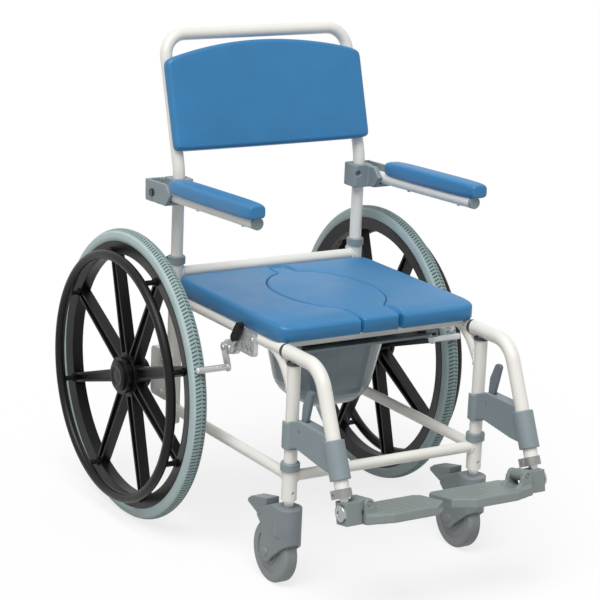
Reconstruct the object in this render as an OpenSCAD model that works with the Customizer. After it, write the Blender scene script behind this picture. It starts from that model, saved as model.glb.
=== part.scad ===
// Self-propelled shower commode chair with swing-away legrests and flip-up arms.
// Millimetres, +Z up, the sitter faces -Y, and the origin is on the floor under the middle of the chair.

/* [Main sizes] */
// Height of the seat top above the floor
seat_top = 518; // [505:1:550]
// Distance between the centre planes of the two side frames
frame_w = 434; // [424:1:450]
// Castor stem to drive axle, front to back
wheelbase = 500; // [490:1:530]
// Height of the push bar's axis above the floor
push_bar_z = 994; // [970:1:1030]
// Height of the armrest pivots above the floor
arm_z = 687; // [675:1:695]

/* [Drive wheels] */
// Diameter over the tyre
wheel_d = 604; // [590:1:612]
// Distance between the mid-planes of the two drive wheels
wheel_track = 602; // [600:1:630]
// Width of the tyre
tyre_w = 35; // [32:1:38]
// Height of the tyre above the rim
tyre_h = 25; // [22:1:28]
// Radial height of the rim
rim_h = 26; // [22:1:32]
// Number of spokes
spoke_n = 8; // [6:1:10]
// Width of a spoke at the hub
spoke_root_w = 27; // [22:1:30]
// Width of a spoke at the rim
spoke_tip_w = 19; // [16:1:22]
// Depth of a spoke along the axle
spoke_t = 22; // [18:1:26]
// Diameter of the hub barrel
hub_d = 62; // [56:1:66]
// Diameter of the outer hub flange
flange_d = 78; // [72:1:84]
// Diameter of the drive axle
axle_d = 12.7; // [11:0.1:14]
// Outer diameter of a wheel bearing
bearing_d = 28.6; // [26:0.1:32]
// Diameter of the handrim at its tube's centre
handrim_d = 504; // [490:1:510]
// Diameter of the handrim tube
handrim_tube_d = 20; // [16:1:22]
// Handrim plane to wheel mid-plane
handrim_out = 42.5; // [40:0.5:48]

/* [Frame tubes] */
// Diameter of the telescopic front leg tube
leg_d = 26; // [25:1:28]
// Diameter of the lower leg socket and of the rear leg
socket_d = 30; // [29:1:32]
// Wall of the frame tubes
tube_wall = 2; // [1.5:0.1:2]
// Diameter of the seat side rails
rail_d = 26; // [24:1:28]
// Diameter of the base rails and of the front base tube
base_d = 22; // [20:1:24]
// Height of the base tubes' axes above the floor
base_z = 228; // [222:1:234]
// Height of the lower end of a leg socket above the floor
socket_foot = 181; // [179:1:186]
// Drive axle to rear leg, front to back
post_lead = 28; // [26:1:30]
// Diameter of the back tube and of the push bar
back_d = 25; // [24:0.5:25]
// Lean of the upper back from upright, in degrees
back_lean = 17; // [14:0.5:18]
// Height above the floor where the back starts to lean
back_bend_z = 716; // [714:1:730]

/* [Pads] */
// Width of the seat pad
seat_w = 458; // [450:1:462]
// Depth of the seat pad
seat_d = 424; // [416:1:425]
// Thickness of the seat pad at its edge
seat_t = 36; // [32:1:40]
// Half width of the seat opening
hole_half_w = 106; // [100:1:112]
// Half depth of the seat opening
hole_half_d = 152; // [146:1:158]
// Half width of the slot from the seat opening to the front edge
slot_half_w = 45; // [40:1:50]
// Width of the backrest pad
back_pad_w = 464; // [446:1:466]
// Height of the backrest pad at its corners
back_pad_h = 186; // [170:1:200]
// Rise of the backrest pad's top edge in the middle
back_pad_arch = 33; // [20:1:40]
// Thickness of the backrest pad
back_pad_t = 34; // [28:1:38]
// Length of an arm pad
arm_pad_l = 322; // [300:1:326]
// Width of an arm pad
arm_pad_w = 42; // [36:1:43]
// Height of an arm pad
arm_pad_h = 27; // [22:1:32]

/* [Armrests] */
// Diameter of the arm tube
arm_d = 25; // [24:1:26]
// Arm tube's axis to the centre plane of the chair
arm_x = 251; // [250:1:254]
// Pivot to the front end of the arm tube
arm_l = 382; // [376:1:392]
// Rise of the arm tube from level, in degrees
arm_rise = 2.5; // [0:0.5:4]

/* [Castors] */
// Diameter of the castor wheel
castor_d = 125; // [120:1:127]
// Width of the castor wheel
castor_w = 30; // [26:1:32]
// Stem axis to wheel axle, front to back
castor_trail = 42; // [38:1:46]
// Diameter of the castor's stem tower
tower_d = 54; // [50:1:56]
// Height of the tower's top above the floor
tower_top = 166; // [162:1:168]

/* [Legrests] */
// Diameter of the hanger tube
hanger_d = 28; // [27:1:29]
// Bend of the hanger tube from level, in degrees
hanger_bend = 66; // [64:1:68]
// Radius of the hanger's bend at the tube's axis
hanger_bend_r = 60; // [55:1:65]
// Straight length of the hanger below its bend
hanger_drop = 187; // [180:1:192]
// Diameter of the footrest stem
stem_d = 18; // [16:1:19]
// Toe-up tilt of the footplates, in degrees
foot_tilt = 10; // [6:1:12]
// Depth of a footplate
plate_d = 120; // [110:1:130]
// Thickness of a footplate at its edge
plate_t = 18; // [16:1:20]

/* [Pan] */
// Outer width of the pan below its rim
pan_w = 228; // [218:1:240]
// Outer depth of the pan, front to back
pan_l = 228; // [218:1:240]
// Height of the pan below its rim
pan_h = 158; // [140:1:166]
// Wall of the pan
pan_wall = 3; // [2.5:0.1:4]

/* [Hidden] */
$fn = 48;

// Colours of the finishes
frame_colour = "#EFEDE6";
pad_colour = "#3F7DB8";
moulding_colour = "#7D868D";
dark_colour = "#26282A";
steel_colour = "#C4C6C8";
tyre_colour = "#9DB3B4";
pan_colour = "#66747C";

// Overrun of every cut, clearance of moving pieces, clearances of turning and of fixed fits,
// and how far a bend's walls stand over the straight runs that enter it
over = 1;
gap = 0.3;
run_fit = 0.05;
fixed_fit = 0.02;
swell = 0.05;

// Lines that several pieces share
side_x = frame_w / 2;
wheel_x = wheel_track / 2;
wheel_r = wheel_d / 2;
seat_bottom = seat_top - seat_t;
pad_seat_z = seat_bottom - gap;
rail_z = pad_seat_z - rail_d / 2;

// Hanger: its level run behind and ahead of the leg, and where its straight drop ends
hanger_back = 29;
hanger_level = 53;
hanger_z = rail_z;
bend_end_y = hanger_level + hanger_bend_r * sin(hanger_bend);
bend_end_z = hanger_z - hanger_bend_r * (1 - cos(hanger_bend));
hanger_end_y = bend_end_y + hanger_drop * cos(hanger_bend);
hanger_end_z = bend_end_z - hanger_drop * sin(hanger_bend);

// Footrest: its block sits on the stem, and the plate hangs from the block's hinge
block_along = 37;
block_y = hanger_end_y + block_along * cos(hanger_bend);
block_z = hanger_end_z - block_along * sin(hanger_bend);
plate_front = 48;
plate_drop = 13;
foot_reach = block_y + plate_front * cos(foot_tilt) + (plate_drop + plate_t) * sin(foot_tilt);

// Front to back places, with the chair's depth centred on the origin
axle_y = (wheelbase + foot_reach - wheel_r) / 2;
leg_y = axle_y - wheelbase;
post_y = axle_y - post_lead;

// General helpers

module on_side(side) {
    if (side > 0) children();
    else mirror([1, 0, 0]) children();
}

module both_sides() {
    children();
    mirror([1, 0, 0]) children();
}

// A profile drawn in (y, z) and extruded along +X
module side_plane() rotate([90, 0, 90]) children();

module along_x() rotate([0, 90, 0]) children();

module along_y() rotate([-90, 0, 0]) children();

// Round tube or rod standing on z = 0
module tube(d, wall, l) {
    difference() {
        cylinder(d = d, h = l);
        translate([0, 0, -over]) cylinder(d = d - 2 * wall, h = l + 2 * over);
    }
}

module ring_2d(d, wall) {
    difference() {
        circle(d = d);
        circle(d = d - 2 * wall);
    }
}

// Bent tube round the Z axis, starting on the X axis
module bent_tube(d, wall, r, angle) {
    rotate_extrude(angle = angle) translate([r, 0]) ring_2d(d + 2 * swell, wall + 2 * swell);
}

// Outline with rounded corners, made of circles and rectangles
module rounded_2d(w, l, r) {
    square([w - 2 * r, l], center = true);
    square([w, l - 2 * r], center = true);
    for (x = [-1, 1], y = [-1, 1]) translate([x * (w / 2 - r), y * (l / 2 - r)]) circle(r);
}

// Straight bar with round ends between two points of a profile
module bar_2d(p, q, w) {
    run = q - p;
    translate(p) circle(d = w);
    translate(q) circle(d = w);
    translate(p) rotate(atan2(run[1], run[0])) translate([0, -w / 2]) square([norm(run), w]);
}

// Power of a number that keeps its sign
function spow(v, e) = sign(v) * pow(abs(v), e);

function total(v, i = 0) = i < len(v) ? v[i] + total(v, i + 1) : 0;

function centre(ring) = [for (k = [0:2]) total([for (p = ring) p[k]]) / len(ring)];

// Closed skin of triangles through equal rings of points, with a fan at each end
module skin(rings) {
    m = len(rings);
    n = len(rings[0]);
    points = concat([for (r = rings, p = r) p], [centre(rings[0]), centre(rings[m - 1])]);
    sides = [for (i = [0:m - 2], j = [0:n - 1], half = [0, 1])
        let (a = i * n + j, b = i * n + (j + 1) % n)
        half == 0 ? [a, b, a + n] : [b, b + n, a + n]];
    first = [for (j = [0:n - 1]) [(j + 1) % n, j, m * n]];
    last = [for (j = [0:n - 1]) [(m - 1) * n + j, (m - 1) * n + (j + 1) % n, m * n + 1]];
    polyhedron(points, concat(sides, first, last));
}

// Side frames

socket_h = 60;
leg_lift = 4;
bush_flange = 4;
leg_top = hanger_z - hanger_d / 2 - bush_flange - gap;
height_hole_d = 7;
height_hole_up = 16;

// Tube that telescopes in the leg socket, with the hole of its height button
module front_legs() {
    foot = socket_foot + leg_lift;
    color(frame_colour) both_sides() translate([side_x, leg_y, foot]) difference() {
        tube(leg_d, tube_wall, leg_top - foot);
        translate([0, 0, height_hole_up - leg_lift]) along_y() translate([0, 0, -leg_d])
            cylinder(d = height_hole_d, h = leg_d);
    }
}

rear_leg_foot = 196;
rear_leg_top = 537;
knob_z = 524;
stud_d = 8;
nut_boss_d = 18;
nut_boss_l = 9;
post_bore = back_d + 2 * run_fit;
nut_boss_y = socket_d / 2 + nut_boss_l;

// Rear leg, bored for the back tube, with the threaded boss of the clamping knob behind
module rear_legs() {
    color(frame_colour) both_sides() translate([side_x, post_y, 0]) difference() {
        union() {
            translate([0, 0, rear_leg_foot]) cylinder(d = socket_d, h = rear_leg_top - rear_leg_foot);
            translate([0, 0, knob_z]) along_y() cylinder(d = nut_boss_d, h = nut_boss_y);
        }
        translate([0, 0, rear_leg_foot - over])
            cylinder(d = post_bore, h = rear_leg_top - rear_leg_foot + 2 * over);
        translate([0, 0, knob_z]) along_y() cylinder(d = stud_d + 2 * run_fit, h = nut_boss_y + over);
    }
}

gusset_d = 23;
gusset_r = 90;
gusset_turn = 55;
gusset_back = 97;
buffer_t = 6;
buffer_d = 27;
rail_front_y = leg_y + hanger_back + gap + buffer_t;

// Seat side rail with the curved tube that carries its front end down to the leg
module seat_rails() {
    start_y = leg_y + gusset_back;
    color(frame_colour) both_sides() difference() {
        union() {
            translate([side_x, rail_front_y, rail_z]) along_y()
                tube(rail_d, tube_wall, post_y - rail_front_y);
            difference() {
                translate([side_x, 0, 0]) side_plane() translate([start_y, rail_z - gusset_r]) {
                    rotate(90) bent_tube(gusset_d, tube_wall, gusset_r, gusset_turn);
                    rotate(90 + gusset_turn) translate([gusset_r, -over]) rotate([-90, 0, 0])
                        tube(gusset_d, tube_wall, 2 * leg_d);
                }
                translate([side_x, rail_front_y - over, rail_z]) along_y()
                    cylinder(d = rail_d - tube_wall, h = post_y - rail_front_y);
                translate([side_x - leg_d, leg_y - gusset_back, 0]) cube([2 * leg_d, gusset_back, seat_top]);
            }
        }
        translate([side_x, leg_y, 0]) cylinder(d = leg_d, h = seat_top);
        translate([side_x, post_y, 0]) cylinder(d = socket_d, h = seat_top);
        translate([side_x, rail_front_y - buffer_t - gap, rail_z]) along_y()
            cylinder(d = buffer_d + 2 * gap, h = buffer_t + gap);
    }
}

seat_tube_z = 517;
seat_tube_d = 24;
bar_w = 30;
bar_h = 20;
bar_wall = 2;
front_bar_back = 104;
rear_bar_ahead = 64;
front_bar_y = leg_y + front_bar_back;
rear_bar_y = post_y - rear_bar_ahead;
board_t = 8;
board_in = 14;
board_clear = 5;
board_points = 36;
bar_top = pad_seat_z - board_t;

// Board under the seat pad, cut out for the opening and for the infill's tongue
module seat_board() {
    front = hole_y - seat_front + board_in;
    rear = hole_y + seat_rear - board_in;
    half = side_x - rail_d / 2 - gap;
    translate([0, 0, bar_top]) linear_extrude(board_t) difference() {
        translate([-half, front]) square([2 * half, rear - front]);
        translate([0, hole_y]) polygon([for (k = [0:board_points - 1]) let (t = 360 * k / board_points)
            [(hole_half_w + board_clear) * cos(t), (hole_half_d + board_clear) * sin(t)]]);
        translate([-slot_half_w - board_clear, hole_y - seat_front])
            square([2 * (slot_half_w + board_clear), seat_front]);
    }
}

// Round tube behind the seat, the two flat tubes under it and the board that they carry
module seat_cross_members() {
    color(frame_colour) {
        difference() {
            translate([-side_x, post_y, seat_tube_z]) along_x() tube(seat_tube_d, tube_wall, frame_w);
            both_sides() translate([side_x, post_y, 0]) cylinder(d = socket_d, h = rear_leg_top);
        }
        for (y = [front_bar_y, rear_bar_y]) difference() {
            translate([-side_x, y, bar_top - bar_h / 2]) along_x() linear_extrude(frame_w) difference() {
                rounded_2d(bar_h, bar_w, bar_wall);
                square([bar_h - 2 * bar_wall, bar_w - 2 * bar_wall], center = true);
            }
            both_sides() translate([side_x, y - bar_w, rail_z]) along_y()
                cylinder(d = rail_d, h = 2 * bar_w);
        }
        seat_board();
    }
}

// Base weldment: two leg sockets, two side rails and the front cross tube, open behind
module base_frame() {
    color(frame_colour) {
        both_sides() {
            translate([side_x, leg_y, socket_foot]) difference() {
                cylinder(d = socket_d, h = socket_h);
                translate([0, 0, -over]) cylinder(d = leg_d + 2 * fixed_fit, h = socket_h + 2 * over);
                translate([0, 0, height_hole_up]) along_y() translate([0, 0, -socket_d])
                    cylinder(d = height_hole_d, h = socket_d);
            }
            difference() {
                translate([side_x, leg_y, base_z]) along_y() tube(base_d, tube_wall, post_y - leg_y);
                for (y = [leg_y, post_y]) translate([side_x, y, 0]) cylinder(d = socket_d, h = seat_top);
            }
        }
        difference() {
            translate([-side_x, leg_y, base_z]) along_x() tube(base_d, tube_wall, frame_w);
            both_sides() translate([side_x, leg_y, 0]) cylinder(d = socket_d, h = seat_top);
        }
    }
}

collar_h = 16;
leg_collar_d = 38;
post_collar_d = 36;
collar_lip = 2;

// Ring with a chamfered upper lip
module collar(d, bore) {
    rotate_extrude() polygon([
        [bore / 2, 0], [d / 2, 0], [d / 2, collar_h - collar_lip], [d / 2 - collar_lip, collar_h],
        [bore / 2, collar_h]
    ]);
}

// Grey collars on the leg sockets and on the rear legs
module frame_collars() {
    color(moulding_colour) both_sides() {
        translate([side_x, leg_y, socket_foot + socket_h]) collar(leg_collar_d, leg_d + 2 * fixed_fit);
        translate([side_x, post_y, rear_leg_top]) collar(post_collar_d, post_bore);
    }
}

pin_d = 14;
bush_depth = 44;
bush_flange_d = 31;
buffer_plug = 14;

// Bushes in the leg tops that carry the hanger pins, and the rubber buffers on the rail ends
module legrest_bushes() {
    color(dark_colour) both_sides() {
        translate([side_x, leg_y, leg_top]) difference() {
            union() {
                cylinder(d = bush_flange_d, h = bush_flange);
                translate([0, 0, -bush_depth])
                    cylinder(d = leg_d - 2 * tube_wall - 2 * fixed_fit, h = bush_depth);
            }
            translate([0, 0, -bush_depth - over])
                cylinder(d = pin_d + 2 * run_fit, h = bush_depth + bush_flange + 2 * over);
        }
        translate([side_x, rail_front_y - buffer_t, rail_z]) along_y() {
            cylinder(d = buffer_d, h = buffer_t);
            cylinder(d = rail_d - 2 * tube_wall - 2 * fixed_fit, h = buffer_t + buffer_plug);
        }
    }
}

runner_in = 146;
runner_w = 29;
runner_h = 17;
runner_wall = 4;
lip_t = 5;
runner_z = bar_top - bar_h - runner_h;
lip_z = runner_z + runner_wall + gap;

// Plastic channels under the flat tubes that the pan's rim slides in
module pan_runners() {
    l = rear_bar_y - front_bar_y + bar_w;
    color(moulding_colour) both_sides() translate([runner_in, front_bar_y - bar_w / 2, runner_z])
        along_y() mirror([0, 1, 0]) linear_extrude(l) difference() {
            square([runner_w, runner_h]);
            translate([-over, runner_wall]) square([runner_w - runner_wall + over, lip_t + 2 * gap]);
        }
}

// Drive wheels

bracket_off = 11;
plate_back = 22;
bracket_h = 104;
bracket_front = 24;
bracket_r = 12;
bracket_bolt_d = 12;
bracket_bolt_h = 5;
bracket_bolt_up = 36;
bracket_x = side_x + bracket_off;
bracket_w = 16;

// Cast plate with a saddle for the rear leg, which carries the axle behind the leg
module axle_brackets() {
    color(steel_colour) both_sides() difference() {
        union() {
            translate([bracket_x, 0, 0]) side_plane() linear_extrude(bracket_w)
                translate([axle_y + (plate_back - post_lead - bracket_front) / 2, wheel_r])
                    rounded_2d(post_lead + plate_back + bracket_front, bracket_h, bracket_r);
            for (up = [-1, 1]) translate([bracket_x + bracket_w, post_y, wheel_r + up * bracket_bolt_up])
                along_x() cylinder(d = bracket_bolt_d, h = bracket_bolt_h, $fn = 6);
        }
        translate([side_x, post_y, 0]) cylinder(d = socket_d, h = seat_top);
        translate([side_x, axle_y, wheel_r]) along_x()
            cylinder(d = axle_d + 2 * fixed_fit, h = wheel_x);
    }
}

hub_in = 30;
hub_out = 20;
flange_t = 7;
cap_t = 6;
cap_d = 62;
spoke_ring_d = 82;
spoke_ring_t = 28;
bearing_w = 8;
outer_bearing = 14;
nut_d = 19;
nut_t = 7;
nut_room = 3;
shoulder_d = 20;
axle_head_d = 22;
axle_head_t = 8;
stem_bolt_d = 12;
stem_down = 34;
stem_nut_d = 20;
stem_nut_t = 9;
plug_h = 46;

// Drive axles in their brackets, and the castor stems in the lower ends of the legs
module axles_and_stems() {
    outer_face = wheel_x + outer_bearing + bearing_w + gap;
    shoulder_x = bracket_x + bracket_w;
    plug_z = socket_foot + leg_lift;
    color(steel_colour) both_sides() {
        translate([0, axle_y, wheel_r]) {
            translate([bracket_x - axle_head_t, 0, 0]) along_x()
                cylinder(d = axle_head_d, h = axle_head_t, $fn = 6);
            translate([bracket_x - axle_head_t, 0, 0]) along_x()
                cylinder(d = axle_d, h = outer_face + nut_t - bracket_x + axle_head_t);
            translate([shoulder_x, 0, 0]) along_x()
                cylinder(d = shoulder_d, h = wheel_x - hub_in - gap - shoulder_x);
            translate([outer_face, 0, 0]) along_x() cylinder(d = nut_d, h = nut_t);
        }
        translate([side_x, leg_y, 0]) {
            translate([0, 0, tower_top - stem_down]) cylinder(d = stem_bolt_d, h = plug_z - tower_top + stem_down);
            translate([0, 0, tower_top + gap]) cylinder(d = stem_nut_d, h = stem_nut_t, $fn = 6);
            translate([0, 0, plug_z]) cylinder(d = leg_d - 2 * tube_wall - 2 * fixed_fit, h = plug_h);
            translate([0, 0, tower_top + gap + stem_nut_t])
                cylinder(d = leg_d - 2 * tube_wall, h = plug_z - tower_top - gap - stem_nut_t);
        }
    }
}

rim_r = wheel_r - tyre_h;
rim_in = rim_r - rim_h;
rim_inner_w = 24;
rim_outer_w = 2 * sqrt(pow(tyre_w / 2, 2) - pow(tyre_h - tyre_w / 2, 2));
spoke_rib = 5;
spoke_pocket = 7;
spoke_blend = 3;
axle_bore_d = 24;

// Spoke outline in the wheel's plane, from its root radius to its tip radius
module spoke_2d(root, tip, inset) {
    polygon([
        [root, -spoke_root_w / 2 + inset], [tip, -spoke_tip_w / 2 + inset],
        [tip, spoke_tip_w / 2 - inset], [root, spoke_root_w / 2 - inset]
    ]);
}

// Rim with sides that splay out to the tyre
module rim_ring() {
    rotate_extrude() polygon([
        [rim_in, -rim_inner_w / 2], [rim_r, -rim_outer_w / 2],
        [rim_r, rim_outer_w / 2], [rim_in, rim_inner_w / 2]
    ]);
}

// Moulded wheel about +X: rim, channelled spokes and hub with its closed outer face
module wheel_moulding() {
    ring_r = spoke_ring_d / 2;
    along_x() difference() {
        union() {
            rim_ring();
            for (k = [0:spoke_n - 1]) rotate(360 * k / spoke_n) difference() {
                translate([0, 0, -spoke_t / 2]) linear_extrude(spoke_t)
                    spoke_2d(ring_r - spoke_blend, rim_in + spoke_blend, 0);
                for (face = [0, 1]) mirror([0, 0, face]) translate([0, 0, spoke_t / 2 - spoke_pocket])
                    linear_extrude(spoke_pocket + over)
                        spoke_2d(ring_r + spoke_rib, rim_in - spoke_rib, spoke_rib);
            }
            translate([0, 0, -hub_in]) cylinder(d = hub_d, h = hub_in + hub_out);
            translate([0, 0, -spoke_ring_t / 2]) cylinder(d = spoke_ring_d, h = spoke_ring_t);
            translate([0, 0, hub_out]) cylinder(d = flange_d, h = flange_t);
            translate([0, 0, hub_out + flange_t]) cylinder(d = cap_d, h = cap_t);
        }
        translate([0, 0, -hub_in - over])
            cylinder(d = bearing_d + 2 * fixed_fit, h = hub_in + over + outer_bearing + bearing_w);
        translate([0, 0, outer_bearing])
            cylinder(d = axle_bore_d, h = bearing_w + gap + nut_t + nut_room);
    }
}

module wheel_bearings() {
    for (x = [-hub_in, outer_bearing]) translate([x, 0, 0]) along_x() difference() {
        cylinder(d = bearing_d, h = bearing_w);
        translate([0, 0, -over]) cylinder(d = axle_d + 2 * run_fit, h = bearing_w + 2 * over);
    }
}

// Round-crowned tyre seated on the rim
module tyre() {
    along_x() rotate_extrude() difference() {
        translate([wheel_r - tyre_w / 2, 0]) circle(d = tyre_w);
        translate([rim_r - tyre_w, -tyre_w]) square([tyre_w, 2 * tyre_w]);
    }
}

post_d = 11;
post_foot_d = 17;
post_foot_t = 6;
post_out = 4;

// Handrim tube with one spacer at each spoke, footed on the rim's sloping side
module handrim() {
    face = rim_inner_w / 2;
    along_x() difference() {
        union() {
            translate([0, 0, handrim_out]) rotate_extrude()
                translate([handrim_d / 2, 0]) circle(d = handrim_tube_d);
            for (k = [0:spoke_n - 1]) rotate(360 * k / spoke_n)
                translate([handrim_d / 2 + post_out, 0, face]) {
                    cylinder(d = post_d, h = handrim_out - face);
                    cylinder(d = post_foot_d, h = post_foot_t);
                }
        }
        rim_ring();
    }
}

// Turn at which both wheels stand
spoke_turn = 28;

module wheel_place(side) on_side(side) translate([wheel_x, axle_y, wheel_r]) rotate([spoke_turn, 0, 0]) children();

module left_wheel() color(dark_colour) wheel_place(-1) wheel_moulding();
module right_wheel() color(dark_colour) wheel_place(1) wheel_moulding();
module left_tyre() color(tyre_colour) wheel_place(-1) tyre();
module right_tyre() color(tyre_colour) wheel_place(1) tyre();
module left_handrim() color(dark_colour) wheel_place(-1) handrim();
module right_handrim() color(dark_colour) wheel_place(1) handrim();
module left_wheel_bearings() color(steel_colour) wheel_place(-1) wheel_bearings();
module right_wheel_bearings() color(steel_colour) wheel_place(1) wheel_bearings();

// Castors, drawn with the stem's axis on the Z axis and the wheel trailing towards +Y

castor_r = castor_d / 2;
castor_axle_d = 8;
castor_boss_d = 50;
castor_cheek = 8;
castor_room = 4;
fork_w = castor_w + 2 * gap + 2 * castor_cheek;
hood_r = castor_r + castor_room + castor_cheek;
hood_low = 12;
axle_head = 3;
axle_head_flange_d = 16;
tower_foot = 96;
pedal_y = 70;
pedal_z = 134;
pedal_pin_d = 8;
pedal_boss_d = 17;
pedal_w = 30;
fork_boss_d = 38;

// Corners of the hood behind the tower and of its cheeks, from the wheel's axle
hood_crown = [20, 88];
hood_tip = [38, 78];
hood_tip_low = [38, 64];
hood_hip = [19, 48];
hood_heel = [-6, -16.5];

// Corners of the pedal, from its hinge
pedal_edge = [[-11.5, 19], [-11.5, 32], [45, 19], [59, 9], [57, 3], [14, -11], [-4, -12]];

// Hood outline: the tower in front, a roof over the wheel, and cheeks that run down to the axle
module hood_2d() {
    axle = [castor_trail, castor_r];
    polygon([
        [-tower_d / 2, tower_foot], [-tower_d / 2, tower_top], [tower_d / 2, tower_top],
        axle + hood_crown, axle + hood_tip, axle + hood_tip_low, axle + hood_hip,
        axle + [fork_boss_d / 2 - over, 0], axle + hood_heel
    ]);
    translate(axle) circle(d = fork_boss_d);
}

// Moulded hood with cheeks for the wheel, a tower for the stem and ears for the pedal
module castor_fork() {
    slot_w = castor_w + 2 * gap;
    difference() {
        union() {
            intersection() {
                translate([-fork_w / 2, 0, 0]) side_plane() linear_extrude(fork_w) hood_2d();
                union() {
                    cylinder(d = tower_d, h = tower_top);
                    translate([-fork_w / 2, 0, 0]) cube([fork_w, 2 * hood_r, tower_top]);
                }
            }
            translate([0, 0, tower_foot + hood_low]) cylinder(d = tower_d, h = tower_top - tower_foot - hood_low);
            translate([-fork_w / 2, pedal_y, pedal_z]) along_x() cylinder(d = pedal_boss_d, h = fork_w);
        }
        translate([-slot_w / 2, castor_trail, castor_r]) along_x()
            cylinder(r = castor_r + castor_room, h = slot_w);
        translate([-pedal_w / 2 - gap, pedal_y - pedal_boss_d / 2 - castor_room, pedal_z - pedal_boss_d])
            cube([pedal_w + 2 * gap, hood_r, hood_r]);
        translate([-fork_w, pedal_y, pedal_z]) along_x()
            cylinder(d = pedal_pin_d + 2 * run_fit, h = 2 * fork_w);
        translate([-fork_w, castor_trail, castor_r]) along_x()
            cylinder(d = castor_axle_d + 2 * fixed_fit, h = 2 * fork_w);
        translate([0, 0, tower_top - stem_down - gap])
            cylinder(d = stem_bolt_d + 2 * run_fit, h = stem_down + gap + over);
    }
    translate([-fork_w / 2, castor_trail, castor_r]) along_x() {
        cylinder(d = castor_axle_d, h = fork_w);
        for (x = [-axle_head, fork_w]) translate([0, 0, x]) cylinder(d = axle_head_flange_d, h = axle_head);
    }
}

castor_round = 7;
castor_hub_d = 84;
castor_dish = 2;

// Solid castor wheel with a rounded tread and dished sides
module castor_wheel() {
    half = castor_w / 2;
    bore = castor_axle_d / 2 + run_fit;
    translate([0, castor_trail, castor_r]) along_x() rotate_extrude() difference() {
        union() {
            translate([bore, -half]) square([castor_r - castor_round - bore, castor_w]);
            translate([bore, -half + castor_round])
                square([castor_r - bore, castor_w - 2 * castor_round]);
            for (s = [-1, 1]) translate([castor_r - castor_round, s * (half - castor_round)])
                circle(castor_round);
        }
        for (s = [0, 1]) mirror([0, s]) translate([castor_boss_d / 2, half - castor_dish])
            square([(castor_hub_d - castor_boss_d) / 2, castor_dish + over]);
    }
}

// Brake pedal with its own hinge trunnions
module castor_pedal() {
    translate([-pedal_w / 2, pedal_y, pedal_z]) side_plane() linear_extrude(pedal_w) {
        polygon(pedal_edge);
        circle(d = pedal_boss_d - 2 * gap);
    }
    translate([-fork_w / 2, pedal_y, pedal_z]) along_x() cylinder(d = pedal_pin_d, h = fork_w);
}

module castor_place(side) on_side(side) translate([side_x, leg_y, 0]) children();

module left_castor_fork() color(moulding_colour) castor_place(-1) castor_fork();
module right_castor_fork() color(moulding_colour) castor_place(1) castor_fork();
module left_castor_wheel() color(moulding_colour) castor_place(-1) castor_wheel();
module right_castor_wheel() color(moulding_colour) castor_place(1) castor_wheel();
module left_castor_pedal() color(moulding_colour) castor_place(-1) castor_pedal();
module right_castor_pedal() color(moulding_colour) castor_place(1) castor_pedal();

// Parking brakes, set so that the shoe stands just ahead of the tyre

brake_up = 17;
shoe_d = 13;
shoe_gap = 0.6;
shoe_r = wheel_r + shoe_d / 2 + shoe_gap;
shoe_y = axle_y - shoe_r * cos(brake_up);
shoe_z = wheel_r + shoe_r * sin(brake_up);
arm_back = 18;
arm_up = 36;
brake_arm_y = shoe_y + arm_back;
brake_arm_z = shoe_z + arm_up;
lever_ahead = 24;
lever_up = 5;
brake_lever_y = brake_arm_y - lever_ahead;
brake_lever_z = brake_arm_z + lever_up;
brake_pin_d = 8;
brake_hub_d = 20;
brake_plate_t = 9;
brake_saddle = 3;
brake_x = side_x + rail_d / 2 - brake_saddle;
brake_face_x = brake_x + brake_plate_t;
brake_spacer = 4;
brake_spacer_d = 14;
brake_blade_t = 5;
brake_blade_x = brake_face_x + brake_spacer + gap;
brake_pin_end = 1.5;
clamp_ahead = 80;
clamp_l = 82;
clamp_h = 46;
clamp_round = 8;
clamp_drop = 3;
arm_plate_w = 28;
window_d = 12;
window_step = 17;

// Cast clamp on the seat rail with the pivot pins of the lever and of the shoe arm
module brake_brackets() {
    clamp_y = brake_lever_y - clamp_ahead + clamp_l / 2;
    clamp_z = rail_z + rail_d / 2 - clamp_drop - clamp_h / 2;
    color(steel_colour) both_sides() {
        difference() {
            translate([brake_x, 0, 0]) side_plane() linear_extrude(brake_plate_t) difference() {
                union() {
                    translate([clamp_y, clamp_z]) rounded_2d(clamp_l, clamp_h, clamp_round);
                    bar_2d([brake_lever_y, brake_lever_z], [brake_arm_y, brake_arm_z], arm_plate_w);
                }
                for (k = [-1:1]) translate([clamp_y + k * window_step - window_d, clamp_z - clamp_h / 2 + window_d])
                    circle(d = window_d);
            }
            translate([side_x, clamp_y - clamp_l, rail_z]) along_y() cylinder(d = rail_d, h = 2 * clamp_l);
        }
        for (p = [[brake_lever_y, brake_lever_z], [brake_arm_y, brake_arm_z]])
            translate([brake_face_x, p[0], p[1]]) along_x() {
                translate([0, 0, -brake_plate_t / 2])
                    cylinder(d = brake_spacer_d, h = brake_spacer + brake_plate_t / 2);
                cylinder(d = brake_pin_d, h = brake_spacer + brake_blade_t + 2 * gap + brake_pin_end);
            }
    }
}

lever_w = 12;
lever_tip = [-34, 52];
grip_root = [-16, 25];
grip_w = 16;
grip_side = 3;

module lever_2d() {
    circle(d = brake_hub_d);
    bar_2d([0, 0], lever_tip, lever_w);
}

module lever_place(side) {
    on_side(side) translate([brake_blade_x, brake_lever_y, brake_lever_z]) side_plane() children();
}

module brake_lever() {
    linear_extrude(brake_blade_t) difference() {
        lever_2d();
        circle(d = brake_pin_d + 2 * run_fit);
    }
}

// Moulded grip pushed over the upper half of the lever
module brake_grip() {
    difference() {
        translate([0, 0, -grip_side]) linear_extrude(brake_blade_t + 2 * grip_side)
            bar_2d(grip_root, lever_tip, grip_w);
        translate([0, 0, -fixed_fit]) linear_extrude(brake_blade_t + 2 * fixed_fit)
            bar_2d([0, 0], lever_tip, lever_w + 2 * fixed_fit);
    }
}

shoe_reach = 9;

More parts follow.
